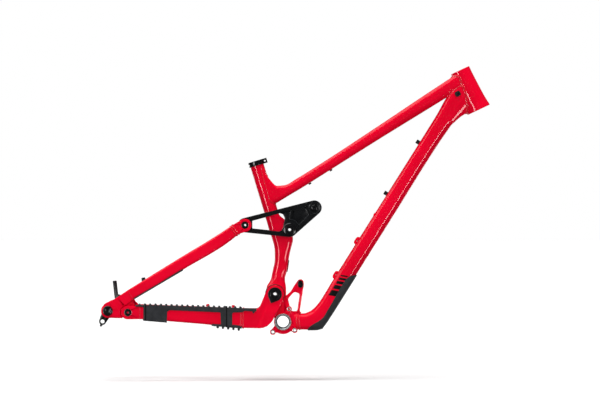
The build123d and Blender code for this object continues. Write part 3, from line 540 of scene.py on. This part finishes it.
def cad_mesh(node):
    """A copy of a CAD node's mesh, with its triangles' shared corners joined."""
    bm = bmesh.new()
    bm.from_mesh(frame["nodes"][node].data)
    bmesh.ops.remove_doubles(bm, verts=bm.verts, dist=2e-6)
    return bm


def machined(node, width, segments=2):
    """A CAD node with its sharp edges broken, as a cutter or a mould leaves them, inside its own box.

    It looks as its slot says, but for the seat collar, which has the gloss of the bolts.
    """
    bm = cad_mesh(node)
    low, high = ([pick(v.co[k] for v in bm.verts) for k in range(3)] for pick in (min, max))
    settings = {
        "width": width * MM,
        "segments": segments,
        "limit_method": "ANGLE",
        "angle_limit": radians(38),
        "use_clamp_overlap": False,
        "miter_outer": "MITER_ARC",
    }
    bm = modified(bm, ("BEVEL", settings))
    for vert in bm.verts:
        vert.co = [min(max(vert.co[k], low[k]), high[k]) for k in range(3)]
    look = BOLT if node == "seat_collar" else LOOKS[SLOT_OF[node]]
    return close_up(node + "_skin", bm, look, BODY_OF[node], [node], 25)


def forged(bm, voxel, rounds):
    """A closed mesh as a forging or moulding: fused into one skin with rounded edges and fillets."""
    return modified(
        bm,
        ("REMESH", {"mode": "VOXEL", "voxel_size": voxel * MM}),
        ("SMOOTH", {"factor": 0.5, "iterations": rounds}),
    )


def rod(point, start, end, radius, count=64):
    """A closed round rod across the frame, from one distance to the side to another, in mm."""
    bm = bmesh.new()
    ends = []
    for y in (start, end):
        ends.append(
            [
                bm.verts.new(Vector((point[0] + radius * cos(a), y, point[1] + radius * sin(a))) * MM)
                for a in np.linspace(0, 2 * pi, count, endpoint=False)
            ]
        )
    for i in range(count):
        j = (i + 1) % count
        bm.faces.new((ends[0][i], ends[0][j], ends[1][j], ends[1][i]))
    bm.faces.new(ends[0][::-1])
    bm.faces.new(ends[1])
    bmesh.ops.recalc_face_normals(bm, faces=bm.faces)
    return bm


def lathe(profile, origin, axis, count=96):
    """A closed profile of (radius, distance along the axis), in mm, turned round an axis."""
    axis = Vector(axis).normalized()
    out = Vector((0, 1, 0)) if abs(axis.y) < 0.9 else Vector((1, 0, 0))
    third = axis.cross(out).normalized()
    bm = bmesh.new()
    rows = []
    for a in np.linspace(0, 2 * pi, count, endpoint=False):
        spoke = out * cos(a) + third * sin(a)
        rows.append([bm.verts.new((Vector(origin) + axis * h + spoke * r) * MM) for r, h in profile])
    for i, row in enumerate(rows):
        following = rows[(i + 1) % count]
        for k in range(len(profile)):
            m = (k + 1) % len(profile)
            bm.faces.new((row[k], row[m], following[m], following[k]))
    bmesh.ops.recalc_face_normals(bm, faces=bm.faces)
    return bm


# ---------------------------------------------------------------- tubes
def slopes(t, v):
    """Slopes through samples that are flat where they turn back, so the curve never overshoots."""
    h, d = np.diff(t), np.diff(v) / np.diff(t)
    m = np.zeros_like(v)
    m[0], m[-1] = d[0], d[-1]
    for i in range(1, len(v) - 1):
        if d[i - 1] * d[i] > 0:
            a, b = 2 * h[i] + h[i - 1], h[i] + 2 * h[i - 1]
            m[i] = (a + b) / (a / d[i - 1] + b / d[i])
    return m


def smooth_rows(table, step):
    """A tube's stations spread along it on smooth curves: low x, z, high x, z, y, width, corner, share."""
    rows = np.array([(*low, *high, y, width, corner) for low, high, y, width, corner in table], float)
    middle = np.stack([(rows[:, 0] + rows[:, 2]) / 2, rows[:, 4], (rows[:, 1] + rows[:, 3]) / 2], 1)
    t = np.concatenate([[0], np.cumsum(np.linalg.norm(np.diff(middle, axis=0), axis=1))])
    at = np.linspace(0, t[-1], max(8, int(t[-1] / step)))
    k = np.clip(np.searchsorted(t, at, side="right") - 1, 0, len(t) - 2)
    h = t[k + 1] - t[k]
    s = (at - t[k]) / h
    made = []
    for column in rows.T:
        m = slopes(t, column)
        made.append(
            (1 + 2 * s) * (1 - s) ** 2 * column[k]
            + s * (1 - s) ** 2 * h * m[k]
            + s * s * (3 - 2 * s) * column[k + 1]
            + s * s * (s - 1) * h * m[k + 1]
        )
    made.append(at / t[-1])
    return np.array(made).T


def section(corners, arc=8, flat=4):
    """Points round a polygon with rounded corners, given as (x, y, radius) in order."""
    points = []
    count = len(corners)
    for i in range(count):
        before, here, after = (np.array(corners[(i + k) % count][:2]) for k in (-1, 0, 1))
        into, out = here - before, after - here
        room = min(np.linalg.norm(into), np.linalg.norm(out)) * 0.5
        into, out = into / np.linalg.norm(into), out / np.linalg.norm(out)
        turn = np.arccos(np.clip(into @ out, -1, 1))
        reach = min(corners[i][2] * np.tan(turn / 2), room * 0.98)
        radius = reach / np.tan(turn / 2)
        side = np.array((-into[1], into[0])) * np.sign(into[0] * out[1] - into[1] * out[0])
        centre = here - into * reach + side * radius
        for a in np.linspace(0, turn, arc):
            points.append(centre - side * radius * np.cos(a) + into * radius * np.sin(a))
        start = here + out * reach
        goal = np.array(corners[(i + 1) % count][:2])
        onward = np.array(corners[(i + 2) % count][:2]) - goal
        onward = onward / np.linalg.norm(onward)
        next_turn = np.arccos(np.clip(out @ onward, -1, 1))
        next_room = np.linalg.norm(goal - here) * 0.5
        next_reach = min(corners[(i + 1) % count][2] * np.tan(next_turn / 2), next_room * 0.98)
        stop = goal - out * next_reach
        for s in range(1, flat + 1):
            points.append(start + (stop - start) * s / (flat + 1))
    return points


def soft_box(w, d, corner, share):
    """A plain tube's section, from half its width and depth: four corners with one radius."""
    c = min(corner, w - 0.5, d - 0.5)
    return [(w, -d, c), (w, d, c), (-w, d, c), (-w, -d, c)]


def eased(value, start, end):
    """0 before a start, 1 after an end, and smooth between."""
    s = min(1.0, max(0.0, (value - start) / (end - start)))
    return s * s * (3 - 2 * s)


KNEE_DROP = 11.0
KNEE_TUCK = 12.5
KNEE_R = 9.0
FOOT_R = 8.0
FACE_SLOPE = 0.40
FACE_R = 60
FACE_BOW = radians(11)
FACE_START = 0.865


def kneed_box(w, d, corner, share):
    """The down tube's section: flat flanks that turn in at a crisp knee, with a bowed face near the head.

    A share is how far along the tube the section is. The knee comes in near the shell; towards the head
    it climbs the flank, and the face below it grows.
    """
    knee, face = eased(share, 0.10, 0.26), eased(share, 0.85, 0.885)
    climb = max(0, (share - FACE_START) / (1 - FACE_START))
    c = min(corner, w - 0.5, d - 0.5)
    plain = 0.586 * c
    drop = plain + (KNEE_DROP - plain) * knee + 16 * climb + 26 * climb ** 2
    tuck = (plain + (KNEE_TUCK - plain) * knee) * (1 - face) + FACE_SLOPE * drop * face
    long = hypot(tuck, drop)
    bow = 0.2 + 0.5 * long * tan(FACE_BOW) * face
    middle = (w - tuck / 2 + bow * drop / long, -d + drop / 2 - bow * tuck / long)
    knee_r, foot_r = c + (KNEE_R - c) * knee, c + (FOOT_R - c) * knee
    half = [(w - tuck, -d, foot_r), (*middle, FACE_R), (w, -d + drop, knee_r), (w, d, c)]
    return half + [(-x, z, r) for x, z, r in half[::-1]]


def tube_grid(table, shape=soft_box, step=3.0, grow=0.0, mirror=False):
    """Rings of points along a tube, in metres, as an array of ring, point and coordinate."""
    grid = []
    for low_x, low_z, high_x, high_z, y, width, corner, share in smooth_rows(table, step):
        depth = hypot(high_x - low_x, high_z - low_z)
        up = np.array(((high_x - low_x) / depth, 0, (high_z - low_z) / depth))
        middle = np.array(((low_x + high_x) / 2, y, (low_z + high_z) / 2))
        ringed = section(shape(width / 2 + grow, depth / 2 + grow, corner + grow, share))
        grid.append([middle + np.array((0, p[0], 0)) + up * p[1] for p in ringed])
    grid = np.array(grid) * MM
    if mirror:
        grid[:, :, 1] *= -1
    return grid


def grid_mesh(grid):
    """A closed tube of quads from rings of points."""
    bm = bmesh.new()
    rows = [[bm.verts.new(p) for p in points] for points in grid]
    count = len(rows[0])
    for low, high in zip(rows, rows[1:]):
        for i in range(count):
            j = (i + 1) % count
            bm.faces.new((low[i], low[j], high[j], high[i]))
    bm.faces.new(rows[0][::-1])
    bm.faces.new(rows[-1])
    bmesh.ops.recalc_face_normals(bm, faces=bm.faces)
    return bm


# ---------------------------------------------------------------- welds
BEAD_PITCH = 2.4 * MM
BEAD_R = 1.9 * MM
BEAD_SIDES = 10


def even(points, closed, step):
    """The same path with points at an even spacing."""
    path = np.array(points)
    if closed:
        path = np.vstack([path, path[:1]])
    gaps = np.linalg.norm(np.diff(path, axis=0), axis=1)
    keep = np.concatenate([[True], gaps > 1e-7])
    path = path[keep]
    t = np.concatenate([[0], np.cumsum(np.linalg.norm(np.diff(path, axis=0), axis=1))])
    count = max(8, int(t[-1] / step))
    at = np.linspace(0, t[-1], count, endpoint=not closed)
    return np.stack([np.interp(at, t, path[:, k]) for k in range(3)], 1), t[-1]


def relaxed(path, closed, rounds):
    """The path with its small kinks smoothed out."""
    for _ in range(rounds):
        before, after = np.roll(path, 1, 0), np.roll(path, -1, 0)
        softer = (before + 2 * path + after) / 4
        if not closed:
            softer[0], softer[-1] = path[0], path[-1]
        path = softer
    return path


def beside(points, way, reach, swell):
    """A second run of weld next to a first: moved along a direction and out from its middle, in mm."""
    middle = np.mean(points, 0)
    moved = []
    for point in points:
        out = point - middle
        out -= way * (out @ way)
        moved.append(point + way * reach * MM + out / np.linalg.norm(out) * swell * MM)
    return moved


def bead_mesh(points, closed=True, radius=BEAD_R, rounds=3):
    """A weld bead along a path: overlapping ripples like a row of fallen coins."""
    path, length = even(points, closed, BEAD_PITCH / 5)
    path = relaxed(path, closed, rounds)
    count = len(path)
    ripples = max(1, round(length / BEAD_PITCH))
    tangents = np.roll(path, -1, 0) - np.roll(path, 1, 0)
    if not closed:
        tangents[0], tangents[-1] = path[1] - path[0], path[-1] - path[-2]
    tangents /= np.linalg.norm(tangents, axis=1)[:, None]
    centre = path.mean(0)
    bm = bmesh.new()
    rows = []
    for i, (point, tangent) in enumerate(zip(path, tangents)):
        out = point - centre
        out -= tangent * (out @ tangent)
        out /= np.linalg.norm(out) + 1e-12
        side = np.cross(tangent, out)
        phase = (i / count * ripples) % 1.0
        size = radius * (0.80 + 0.24 * (1 - phase) ** 1.5 + 0.03 * sin(17.3 * i))
        lean = tangent * radius * 0.3
        rows.append(
            [
                bm.verts.new(point + (out * sin(a) + side * cos(a)) * size + lean * cos(2 * a) * 0.5)
                for a in np.linspace(0, 2 * pi, BEAD_SIDES, endpoint=False)
            ]
        )
    last = count if closed else count - 1
    for i in range(last):
        low, high = rows[i], rows[(i + 1) % count]
        for k in range(BEAD_SIDES):
            m = (k + 1) % BEAD_SIDES
            bm.faces.new((low[k], low[m], high[m], high[k]))
    if not closed:
        bm.faces.new(rows[0])
        bm.faces.new(rows[-1][::-1])
    return bm


def weld(name, body, *beads):
    """One painted piece from some weld beads."""
    close_up(name, merged(*beads), WELD, body, sharp=60)


def tree_of(bm):
    """A search tree of a mesh, which is left as it was."""
    return BVHTree.FromBMesh(bm)


def crossing(line, trees):
    """Where a line of points first goes into any of some meshes."""
    for start, stop in zip(line, line[1:]):
        step = Vector(stop) - Vector(start)
        if step.length < 1e-9:
            continue
        best = None
        for tree in trees:
            hit, _, _, distance = tree.ray_cast(Vector(start), step.normalized(), step.length)
            if hit is not None and (best is None or distance < best[0]):
                best = (distance, hit)
        if best:
            return np.array(best[1])
    return None


def seam(grid, trees, reverse=False):
    """The line where a tube, followed along its length, goes into other pieces."""
    lines = grid[::-1] if reverse else grid
    found = [crossing(lines[:, i], trees) for i in range(grid.shape[1])]
    return [p for p in found if p is not None]


# ---------------------------------------------------------------- front triangle
HEAD_AXIS = Vector((cos(radians(HEAD_ANGLE)), 0, sin(radians(HEAD_ANGLE))))
SEAT_AXIS = Vector((cos(radians(SEAT_ANGLE)), 0, sin(radians(SEAT_ANGLE))))
HEAD_ORIGIN = (HEAD_BOTTOM[0], 0, HEAD_BOTTOM[1])
SEAT_ORIGIN = (SEAT_FOOT[0], 0, SEAT_FOOT[1])
HEAD_PROFILE = [
    (28.0, 0.4), (28.4, 0.0), (30.4, 0.0), (31.0, 0.6), (31.0, 5.0), (30.6, 8.0), (29.9, 12.0), (29.0, 20.0),
    (28.3, 28.0), (27.4, 42.0), (26.7, 58.0), (26.0, 76.0), (25.5, 90.0), (25.3, 98.0), (25.3, 111.1),
    (24.7, 111.7), (22.4, 111.7), (22.0, 111.3), (22.0, 97.7), (20.5, 97.7), (24.5, 14.0), (28.0, 14.0),
]
HEAD_CORE = [(0.01, 1.0), (30.4, 1.0), (25.0, 97.0), (25.0, 110.7), (0.01, 110.7)]


def painted(name, bm, body, node, sharp=40):
    """A red skin over one CAD node."""
    close_up(name, bm, PAINT, body, [node], sharp)


def turned_across(profile, point, count=96):
    """A profile turned round a line across the frame."""
    return lathe(profile, (point[0], 0, point[1]), (0, 1, 0), count)


def head_core():
    """What fills the head tube and its wall, for cutting the tubes that run into it."""
    return lathe(HEAD_CORE, HEAD_ORIGIN, HEAD_AXIS)


def seat_bore(foot):
    """The seatpost's bore, from a height on the seat tube up past its top."""
    profile = [(0.01, foot), (SEATPOST_R, foot), (SEATPOST_R, 140.0), (0.01, 140.0)]
    return lathe(profile, SEAT_ORIGIN, SEAT_AXIS)


def drilled(bm, place, radius, reach):
    """A mesh with a round hole through it from side to side."""
    return combined(bm, rod(place, -reach, reach, radius), "DIFFERENCE")


painted("head_tube_skin", lathe(HEAD_PROFILE, HEAD_ORIGIN, HEAD_AXIS, 128), "front_triangle", "head_tube", 28)
LINER = 0.12
for name, radius, low, high in (("lower_cup_seat", 28.0, 0.7, 14.0), ("upper_cup_seat", 22.0, 97.7, 111.0)):
    liner = [(radius, low), (radius, high), (radius - LINER, high), (radius - LINER, low)]
    close_up(name, lathe(liner, HEAD_ORIGIN, HEAD_AXIS), RAW, "front_triangle")

head_tree = tree_of(head_core())
SEAT_CORE = [(0.01, -2.0), (SEAT_R, -2.0), (SEAT_R, SEAT_LENGTH), (0.01, SEAT_LENGTH)]
seat_tree = tree_of(lathe(SEAT_CORE, SEAT_ORIGIN, SEAT_AXIS))

top_grid = tube_grid(TOP_TUBE)
down_grid = tube_grid(DOWN_TUBE, kneed_box)
mast_grid = tube_grid(MAST)
top_solid, down_solid, mast_solid = grid_mesh(top_grid), grid_mesh(down_grid), grid_mesh(mast_grid)
top_tree, down_tree, mast_tree = tree_of(top_solid), tree_of(down_solid), tree_of(mast_solid)

# Two runs of weld where each tube meets the head tube
head_beads = []
for grid in (top_grid, down_grid):
    line = seam(grid, [head_tree])
    way = grid[-6].mean(0) - grid[-2].mean(0)
    way /= np.linalg.norm(way)
    head_beads += [
        bead_mesh(line, radius=2.6 * MM, rounds=6),
        bead_mesh(beside(line, way, reach=3.6, swell=-0.9), radius=2.1 * MM, rounds=6),
    ]
weld("head_welds", "front_triangle", *head_beads)
# The down tube's flanks stand proud of the top tube's, and are welded to them along their upper corners.
# Each slice of a ring's points runs from a knee up its flank to the upper corner, and the first goes on
# across the upper side.
FLANKS = (slice(28, 48), slice(67, 47, -1))
flank_lines = []
for picked in FLANKS:
    path = [crossing(ring[picked], [top_tree]) for ring in down_grid]
    path = [p for p in path if p is not None]
    flank_lines.append(bead_mesh(path, closed=False, rounds=4))
weld("throat_welds", "front_triangle", *flank_lines)
seat_line = seam(top_grid, [seat_tree, mast_tree], reverse=True)
weld("seat_welds", "front_triangle", bead_mesh(seat_line, rounds=6))

for cutter in (head_core(), seat_bore(-30.0)):
    top_solid = combined(top_solid, cutter, "DIFFERENCE")
painted("top_tube_skin", top_solid, "front_triangle", "top_tube")
painted("down_tube_skin", combined(down_solid, head_core(), "DIFFERENCE"), "front_triangle", "down_tube")

rocker_boss = rod(ROCKER_PIVOT, -MAST_HALF, MAST_HALF, ROCKER_BOSS_R)
main_boss = rod(MAIN_PIVOT, -MAIN_BOSS_HALF, MAIN_BOSS_HALF, MAIN_BOSS_R)
mast = forged(merged(mast_solid, rocker_boss, main_boss), voxel=1.4, rounds=7)
for place, radius in ((MAIN_PIVOT, MAST_HOLE_R), (ROCKER_PIVOT, ROCKER_HOLE_R), ((0, 0), SHELL_R)):
    mast = drilled(mast, place, radius, reach=30)
mast = combined(mast, seat_bore(-20.0), "DIFFERENCE")
painted("seat_mast_skin", mast, "front_triangle", "seat_mast")

# The seat tube runs a little way down inside the mast, so that the two meet without a step
TUBE_FOOT = -18.0
TUBE_BORE_R = 15.55
tube_profile = [
    (SEAT_R, TUBE_FOOT), (SEAT_R, SEAT_LENGTH - 0.4), (SEAT_R - 0.35, SEAT_LENGTH),
    (TUBE_BORE_R + 0.35, SEAT_LENGTH), (TUBE_BORE_R, SEAT_LENGTH - 0.4), (TUBE_BORE_R, TUBE_FOOT),
]
clamp_slot = bmesh.new()
slot_frame = Matrix((SEAT_AXIS, Vector((0, 1, 0)), SEAT_AXIS.cross(Vector((0, 1, 0))))).transposed()
corners = [
    clamp_slot.verts.new((Vector(SEAT_ORIGIN) + slot_frame @ Vector((h, y, out))) * MM)
    for h in (102.0, 130.0) for y in (-1.0, 1.0) for out in (-22.0, -12.0)
]
for quad in ((0, 1, 3, 2), (4, 6, 7, 5), (0, 4, 5, 1), (2, 3, 7, 6), (0, 2, 6, 4), (1, 5, 7, 3)):
    clamp_slot.faces.new([corners[i] for i in quad])
bmesh.ops.recalc_face_normals(clamp_slot, faces=clamp_slot.faces)
seat_skin = combined(lathe(tube_profile, SEAT_ORIGIN, SEAT_AXIS, 128), clamp_slot, "DIFFERENCE")
painted("seat_tube_skin", seat_skin, "front_triangle", "seat_tube")
shell_beads = [bead_mesh(down_grid[k], radius=2.0 * MM) for k in (2, 4)]
weld("shell_welds", "front_triangle", *shell_beads)

# ---------------------------------------------------------------- rear triangle
# The yoke's outer faces stand a little proud ahead of its bend, which leans forward as it rises
YOKE_PROUD = 2.5
BEND_LEAN = 0.35
BEND_FOOT = 19
yoke = forged(cad_mesh("chainstay_yoke"), voxel=1.4, rounds=6)
for vert in yoke.verts:
    x, y, z = vert.co / MM
    ahead = eased(x - BEND_LEAN * (z - BEND_FOOT), -56, -46)
    proud = YOKE_PROUD * ahead * (1 - eased(z, 22, 46)) * eased(abs(y), 36, 41)
    vert.co.y += proud * MM * (1 if y > 0 else -1)
yoke = drilled(yoke, MAIN_PIVOT, YOKE_HOLE_R, reach=60)
painted("chainstay_yoke_skin", yoke, "chainstay", "chainstay_yoke")

# Each stay has one run of weld at its rear end and two at its front end
stay_beads = {"chainstay": [], "seatstay": []}
for where, flip in (("right", False), ("left", True)):
    for stem, table in (("chainstay", CHAINSTAY), ("seatstay", SEATSTAY)):
        grid = tube_grid(table, mirror=flip)
        node = f"{stem}_tube_{where}"
        for ring, radius in ((0, 1.0), (-1, 2.2), (-3, 1.9)):
            stay_beads[stem].append(bead_mesh(grid[ring], radius=radius * MM))
        painted(node + "_skin", grid_mesh(grid), stem, node)
for stem, beads in stay_beads.items():
    weld(stem + "_welds", stem, *beads)

# ---------------------------------------------------------------- machined and moulded pieces
# Nodes by the width of their broken edges, in mm
BROKEN_EDGES = {
    2.0: ("dropout_right", "dropout_left"),
    1.6: ("bb_casting", "shock_mount"),
    1.1: (
        "chainstay_end_right", "chainstay_end_left", "seatstay_head_right", "seatstay_head_left",
        "seatstay_bridge",
    ),
    0.9: ("rocker_plate_right", "rocker_plate_left", "brake_mount", "derailleur_hanger"),
    0.5: (
        "seat_collar", "main_pivot_covers", "main_pivot_axle", "main_pivot_nut",
        "rocker_pivot_axle", "rocker_pivot_nut", "upper_shock_nut", "upper_shock_spacers",
        "seatstay_pivot_bolts", "horst_bolts", "cable_ports", "cable_clips", "shock_mount_inserts",
        "chainstay_hose_guides", "hose_guides", "mast_grommet", "rear_axle",
    ),
    0.3: (
        "chain_guide_inserts", "lower_shock_bolt", "lower_shock_nut", "seat_collar_bolt", "cable_port_screws",
        "cable_clip_bolts", "hose_guide_screws", "accessory_bolts", "brake_mount_bolts",
    ),
}
for width, nodes in BROKEN_EDGES.items():
    for node in nodes:
        machined(node, width)

for node, voxel, rounds in (
    ("chainstay_guard", 0.9, 3),
    ("chainstay_lower_guard", 0.7, 3),
    ("down_tube_guard", 0.9, 3),
    ("seatstay_guard", 0.8, 2),
):
    skin = forged(cad_mesh(node), voxel, rounds)
    close_up(node + "_skin", skin, RUBBER, BODY_OF[node], [node], 50)

# Threaded shell: turned faces and a fine thread in each end
THREAD_PITCH = 1.058
THREAD_TURNS = 23
CREST_R = 17.45
ROOT_R = 18.0
MOUTH_R = 18.1
FACE_EDGE = 0.5
profile = [(SHELL_R, FACE_EDGE - SHELL_HALF), (SHELL_R - FACE_EDGE, -SHELL_HALF), (MOUTH_R, -SHELL_HALF)]
for end in (-1, 1):
    threads = []
    for k in range(THREAD_TURNS):
        y = end * (SHELL_HALF - FACE_EDGE - k * THREAD_PITCH)
        threads += [(CREST_R, y), (ROOT_R, y - end * THREAD_PITCH / 2)]
    profile += threads if end < 0 else threads[::-1]
profile += [(r, -y) for r, y in profile[2::-1]]
close_up(
    "bb_sleeve_skin", turned_across(profile, (0, 0)), RAW, "front_triangle",
    ["bb_sleeve"], 20,
)

# A sleeve that narrows the shell's bore. Its dark plastic also stands in for the shade deep inside the bore:
# partly painted shade.
INNER_SHADE_SLEEVE = [(15.1, -11.0), (15.1, 11.0), (15.5, 11.4), (17.35, 11.4), (17.35, -11.4), (15.5, -11.4)]
sleeve = turned_across(INNER_SHADE_SLEEVE, (0, 0))
close_up("shell_inner_shade_sleeve", sleeve, PLASTIC, "front_triangle")


def turned_pair(profile, point):
    """The same turned ring on both sides of the frame."""
    return merged(*[turned_across([(r, flank * y) for r, y in profile], point) for flank in (-1, 1)])


# Dark rings in the gaps between the yoke's arms and the mast's boss: painted shade, standing in for the
# shadow in those gaps.
PIVOT_SHADE_RING = [(14.2, 23.6), (24.9, 23.6), (25.3, 23.9), (25.3, 24.1), (24.9, 24.4), (14.2, 24.4)]
close_up("main_pivot_shade_rings", turned_pair(PIVOT_SHADE_RING, MAIN_PIVOT), PLASTIC, "front_triangle")

# Domed washers that close the rocker's bearings, and a button-headed shock bolt
DOME = [
    (11.1, 32.05), (17.2, 32.05), (17.2, 32.5), (16.6, 33.1), (15.4, 33.9), (13.8, 34.6), (12.2, 35.0),
    (11.4, 35.1), (11.1, 34.8),
]
washers = turned_pair(DOME, ROCKER_PIVOT)
close_up("rocker_pivot_washers", washers, BOLT, BODY_OF["rocker_plate_right"])
BUTTON = [
    (0.01, 30.0), (4.0, 30.0), (4.0, -30.0), (8.0, -30.0), (8.0, -30.9), (7.7, -31.6), (7.0, -32.2),
    (5.8, -32.7), (4.2, -33.0), (3.3, -33.0), (3.1, -32.8), (2.95, -31.0), (0.01, -31.0),
]
close_up(
    "upper_shock_bolt_skin", turned_across(BUTTON, SHOCK_TOP, 64), BOLT, BODY_OF["upper_shock_bolt"],
    ["upper_shock_bolt"], 40,
)

# Ties that hold the guard to the chainstay, each with its head on top. They lie along the outer face of
# the right stay, which goes out 37.6 mm over its 260 mm.
STAY_END = (-101, -50)
STAY_TURN = atan2(37.6, 260)
stay_way = Vector((cos(STAY_TURN), sin(STAY_TURN), 0))
stay_out = Vector((sin(STAY_TURN), -cos(STAY_TURN), 0))


def stay_block(bm, x, wide, low, high, inner, outer):
    """A block on the chainstay's outer face with its outer corners broken, in mm."""
    run = (x - STAY_END[0]) / cos(STAY_TURN)
    half, cut = wide / 2, min(0.3, wide / 6)
    left = [(-half, inner), (-half, outer - cut), (-half + cut, outer)]
    spots = left + [(-along, out) for along, out in left[::-1]]
    rows = []
    for z in (low, high):
        origin = Vector((*STAY_END, z))
        rows.append([bm.verts.new((origin + stay_way * (run + a) + stay_out * out) * MM) for a, out in spots])
    for k in range(len(spots)):
        m = (k + 1) % len(spots)
        bm.faces.new((rows[0][k], rows[0][m], rows[1][m], rows[1][k]))
    bm.faces.new(rows[0][::-1])
    bm.faces.new(rows[1])


ties = bmesh.new()
for x, low, high in ((-347, 5.0, 44.6), (-143, -11.0, 37.6)):
    stay_block(ties, x, 2.9, low, high, 1.0, 3.0)
    stay_block(ties, x, 4.2, high - 0.4, high + 3.6, -3.0, 1.6)
close_up("guard_ties", ties, INK, BODY_OF["chainstay_guard"])


CAP_STEPS = 12
SCALLOP = 0.10


def lobed_cap(point, face_y, radius, depth, lobes):
    """A domed cap with scallops round a hollow middle, facing right.

    Its rings are given from the middle out: share of the radius, depth below the face, share of a scallop.
    """
    rings = (
        (0.18, 2.1, 0), (0.34, 1.9, 0.5), (0.50, 1.0, 1), (0.62, 0.35, 0.8),
        (0.74, 0.05, 0.2), (0.86, 0.1, 0), (0.95, 0.5, 0), (1.0, 1.3, 0),
    )
    bm = bmesh.new()
    count = lobes * CAP_STEPS
    rows = []
    for share, sink, scallop in rings:
        row = []
        for k in range(count):
            a = 2 * pi * k / count
            r = radius * share * (1 + SCALLOP * scallop * cos(lobes * a))
            spot = Vector((point[0] + r * cos(a), face_y + sink, point[1] + r * sin(a)))
            row.append(bm.verts.new(spot * MM))
        rows.append(row)
    back = [bm.verts.new(Vector((v.co.x, (face_y + depth) * MM, v.co.z))) for v in rows[-1]]
    rows.append(back)
    for low, high in zip(rows, rows[1:]):
        for k in range(count):
            m = (k + 1) % count
            bm.faces.new((low[k], low[m], high[m], high[k]))
    bm.faces.new(rows[0])
    bm.faces.new(back[::-1])
    return bm


close_up(
    "rear_axle_cap_skin", lobed_cap(REAR_AXLE, AXLE_CAP_FACE_Y, AXLE_CAP_R, AXLE_CAP_THICK, lobes=8), BOLT,
    BODY_OF["rear_axle_cap"], ["rear_axle_cap"], 35,
)
PLUG_INNER_Y = 86.2
PLUG_OUTER_Y = 86.6
PLUG_R = 2.15
plug_ends = ((-PLUG_OUTER_Y, -PLUG_INNER_Y), (PLUG_INNER_Y, PLUG_OUTER_Y))
plugs = merged(*[rod(HORST_PIVOT, start, end, PLUG_R, 24) for start, end in plug_ends])
close_up("horst_bolt_plugs", plugs, PAINT, BODY_OF["horst_bolts"])

# ---------------------------------------------------------------- graphic
# Slanted bars laid on each flank of the down tube: where each starts along it and how wide it is
BARS = ((0, 16), (20, 11), (35, 8), (47, 6), (57, 4))
BAR_START = (124.5, 66.5)
BAR_RISE = 17.0
BAR_SLANT = 7.0
BAR_TURN = radians(57.8)
BAR_DEPTH = 0.25
BAR_PROUD = 0.10
BAR_ROWS = 7
BAR_COLUMNS = 4
OUTSIDE_Y = 60
down_way = np.array((cos(BAR_TURN), sin(BAR_TURN)))
down_out = np.array((sin(BAR_TURN), -cos(BAR_TURN)))
for flank, name in ((-1, "stripes_right"), (1, "stripes_left")):
    bm = bmesh.new()
    for start, wide in BARS:
        rows = []
        for i in range(BAR_ROWS):
            height = i / (BAR_ROWS - 1) - 0.5
            row = []
            for k in range(BAR_COLUMNS):
                reach = start + wide * k / (BAR_COLUMNS - 1) + BAR_SLANT * height
                spot = np.array(BAR_START) + down_way * reach + down_out * BAR_RISE * height
                origin = Vector((spot[0], flank * OUTSIDE_Y, spot[1])) * MM
                hit = down_tree.ray_cast(origin, Vector((0, -flank, 0)))[0]
                row.append(bm.verts.new(hit + Vector((0, flank * BAR_PROUD, 0)) * MM))
            rows.append(row)
        for low, high in zip(rows, rows[1:]):
            for k in range(BAR_COLUMNS - 1):
                bm.faces.new((low[k], low[k + 1], high[k + 1], high[k]))
    bmesh.ops.recalc_face_normals(bm, faces=bm.faces)
    bm = modified(bm, ("SOLIDIFY", {"thickness": BAR_DEPTH * MM, "offset": 0.0}))
    close_up(name, bm, INK, "front_triangle")

for node, obj in frame["nodes"].items():
    if not obj.hide_render:
        obj.data.materials.clear()
        obj.data.materials.append(LOOKS[SLOT_OF[node]])
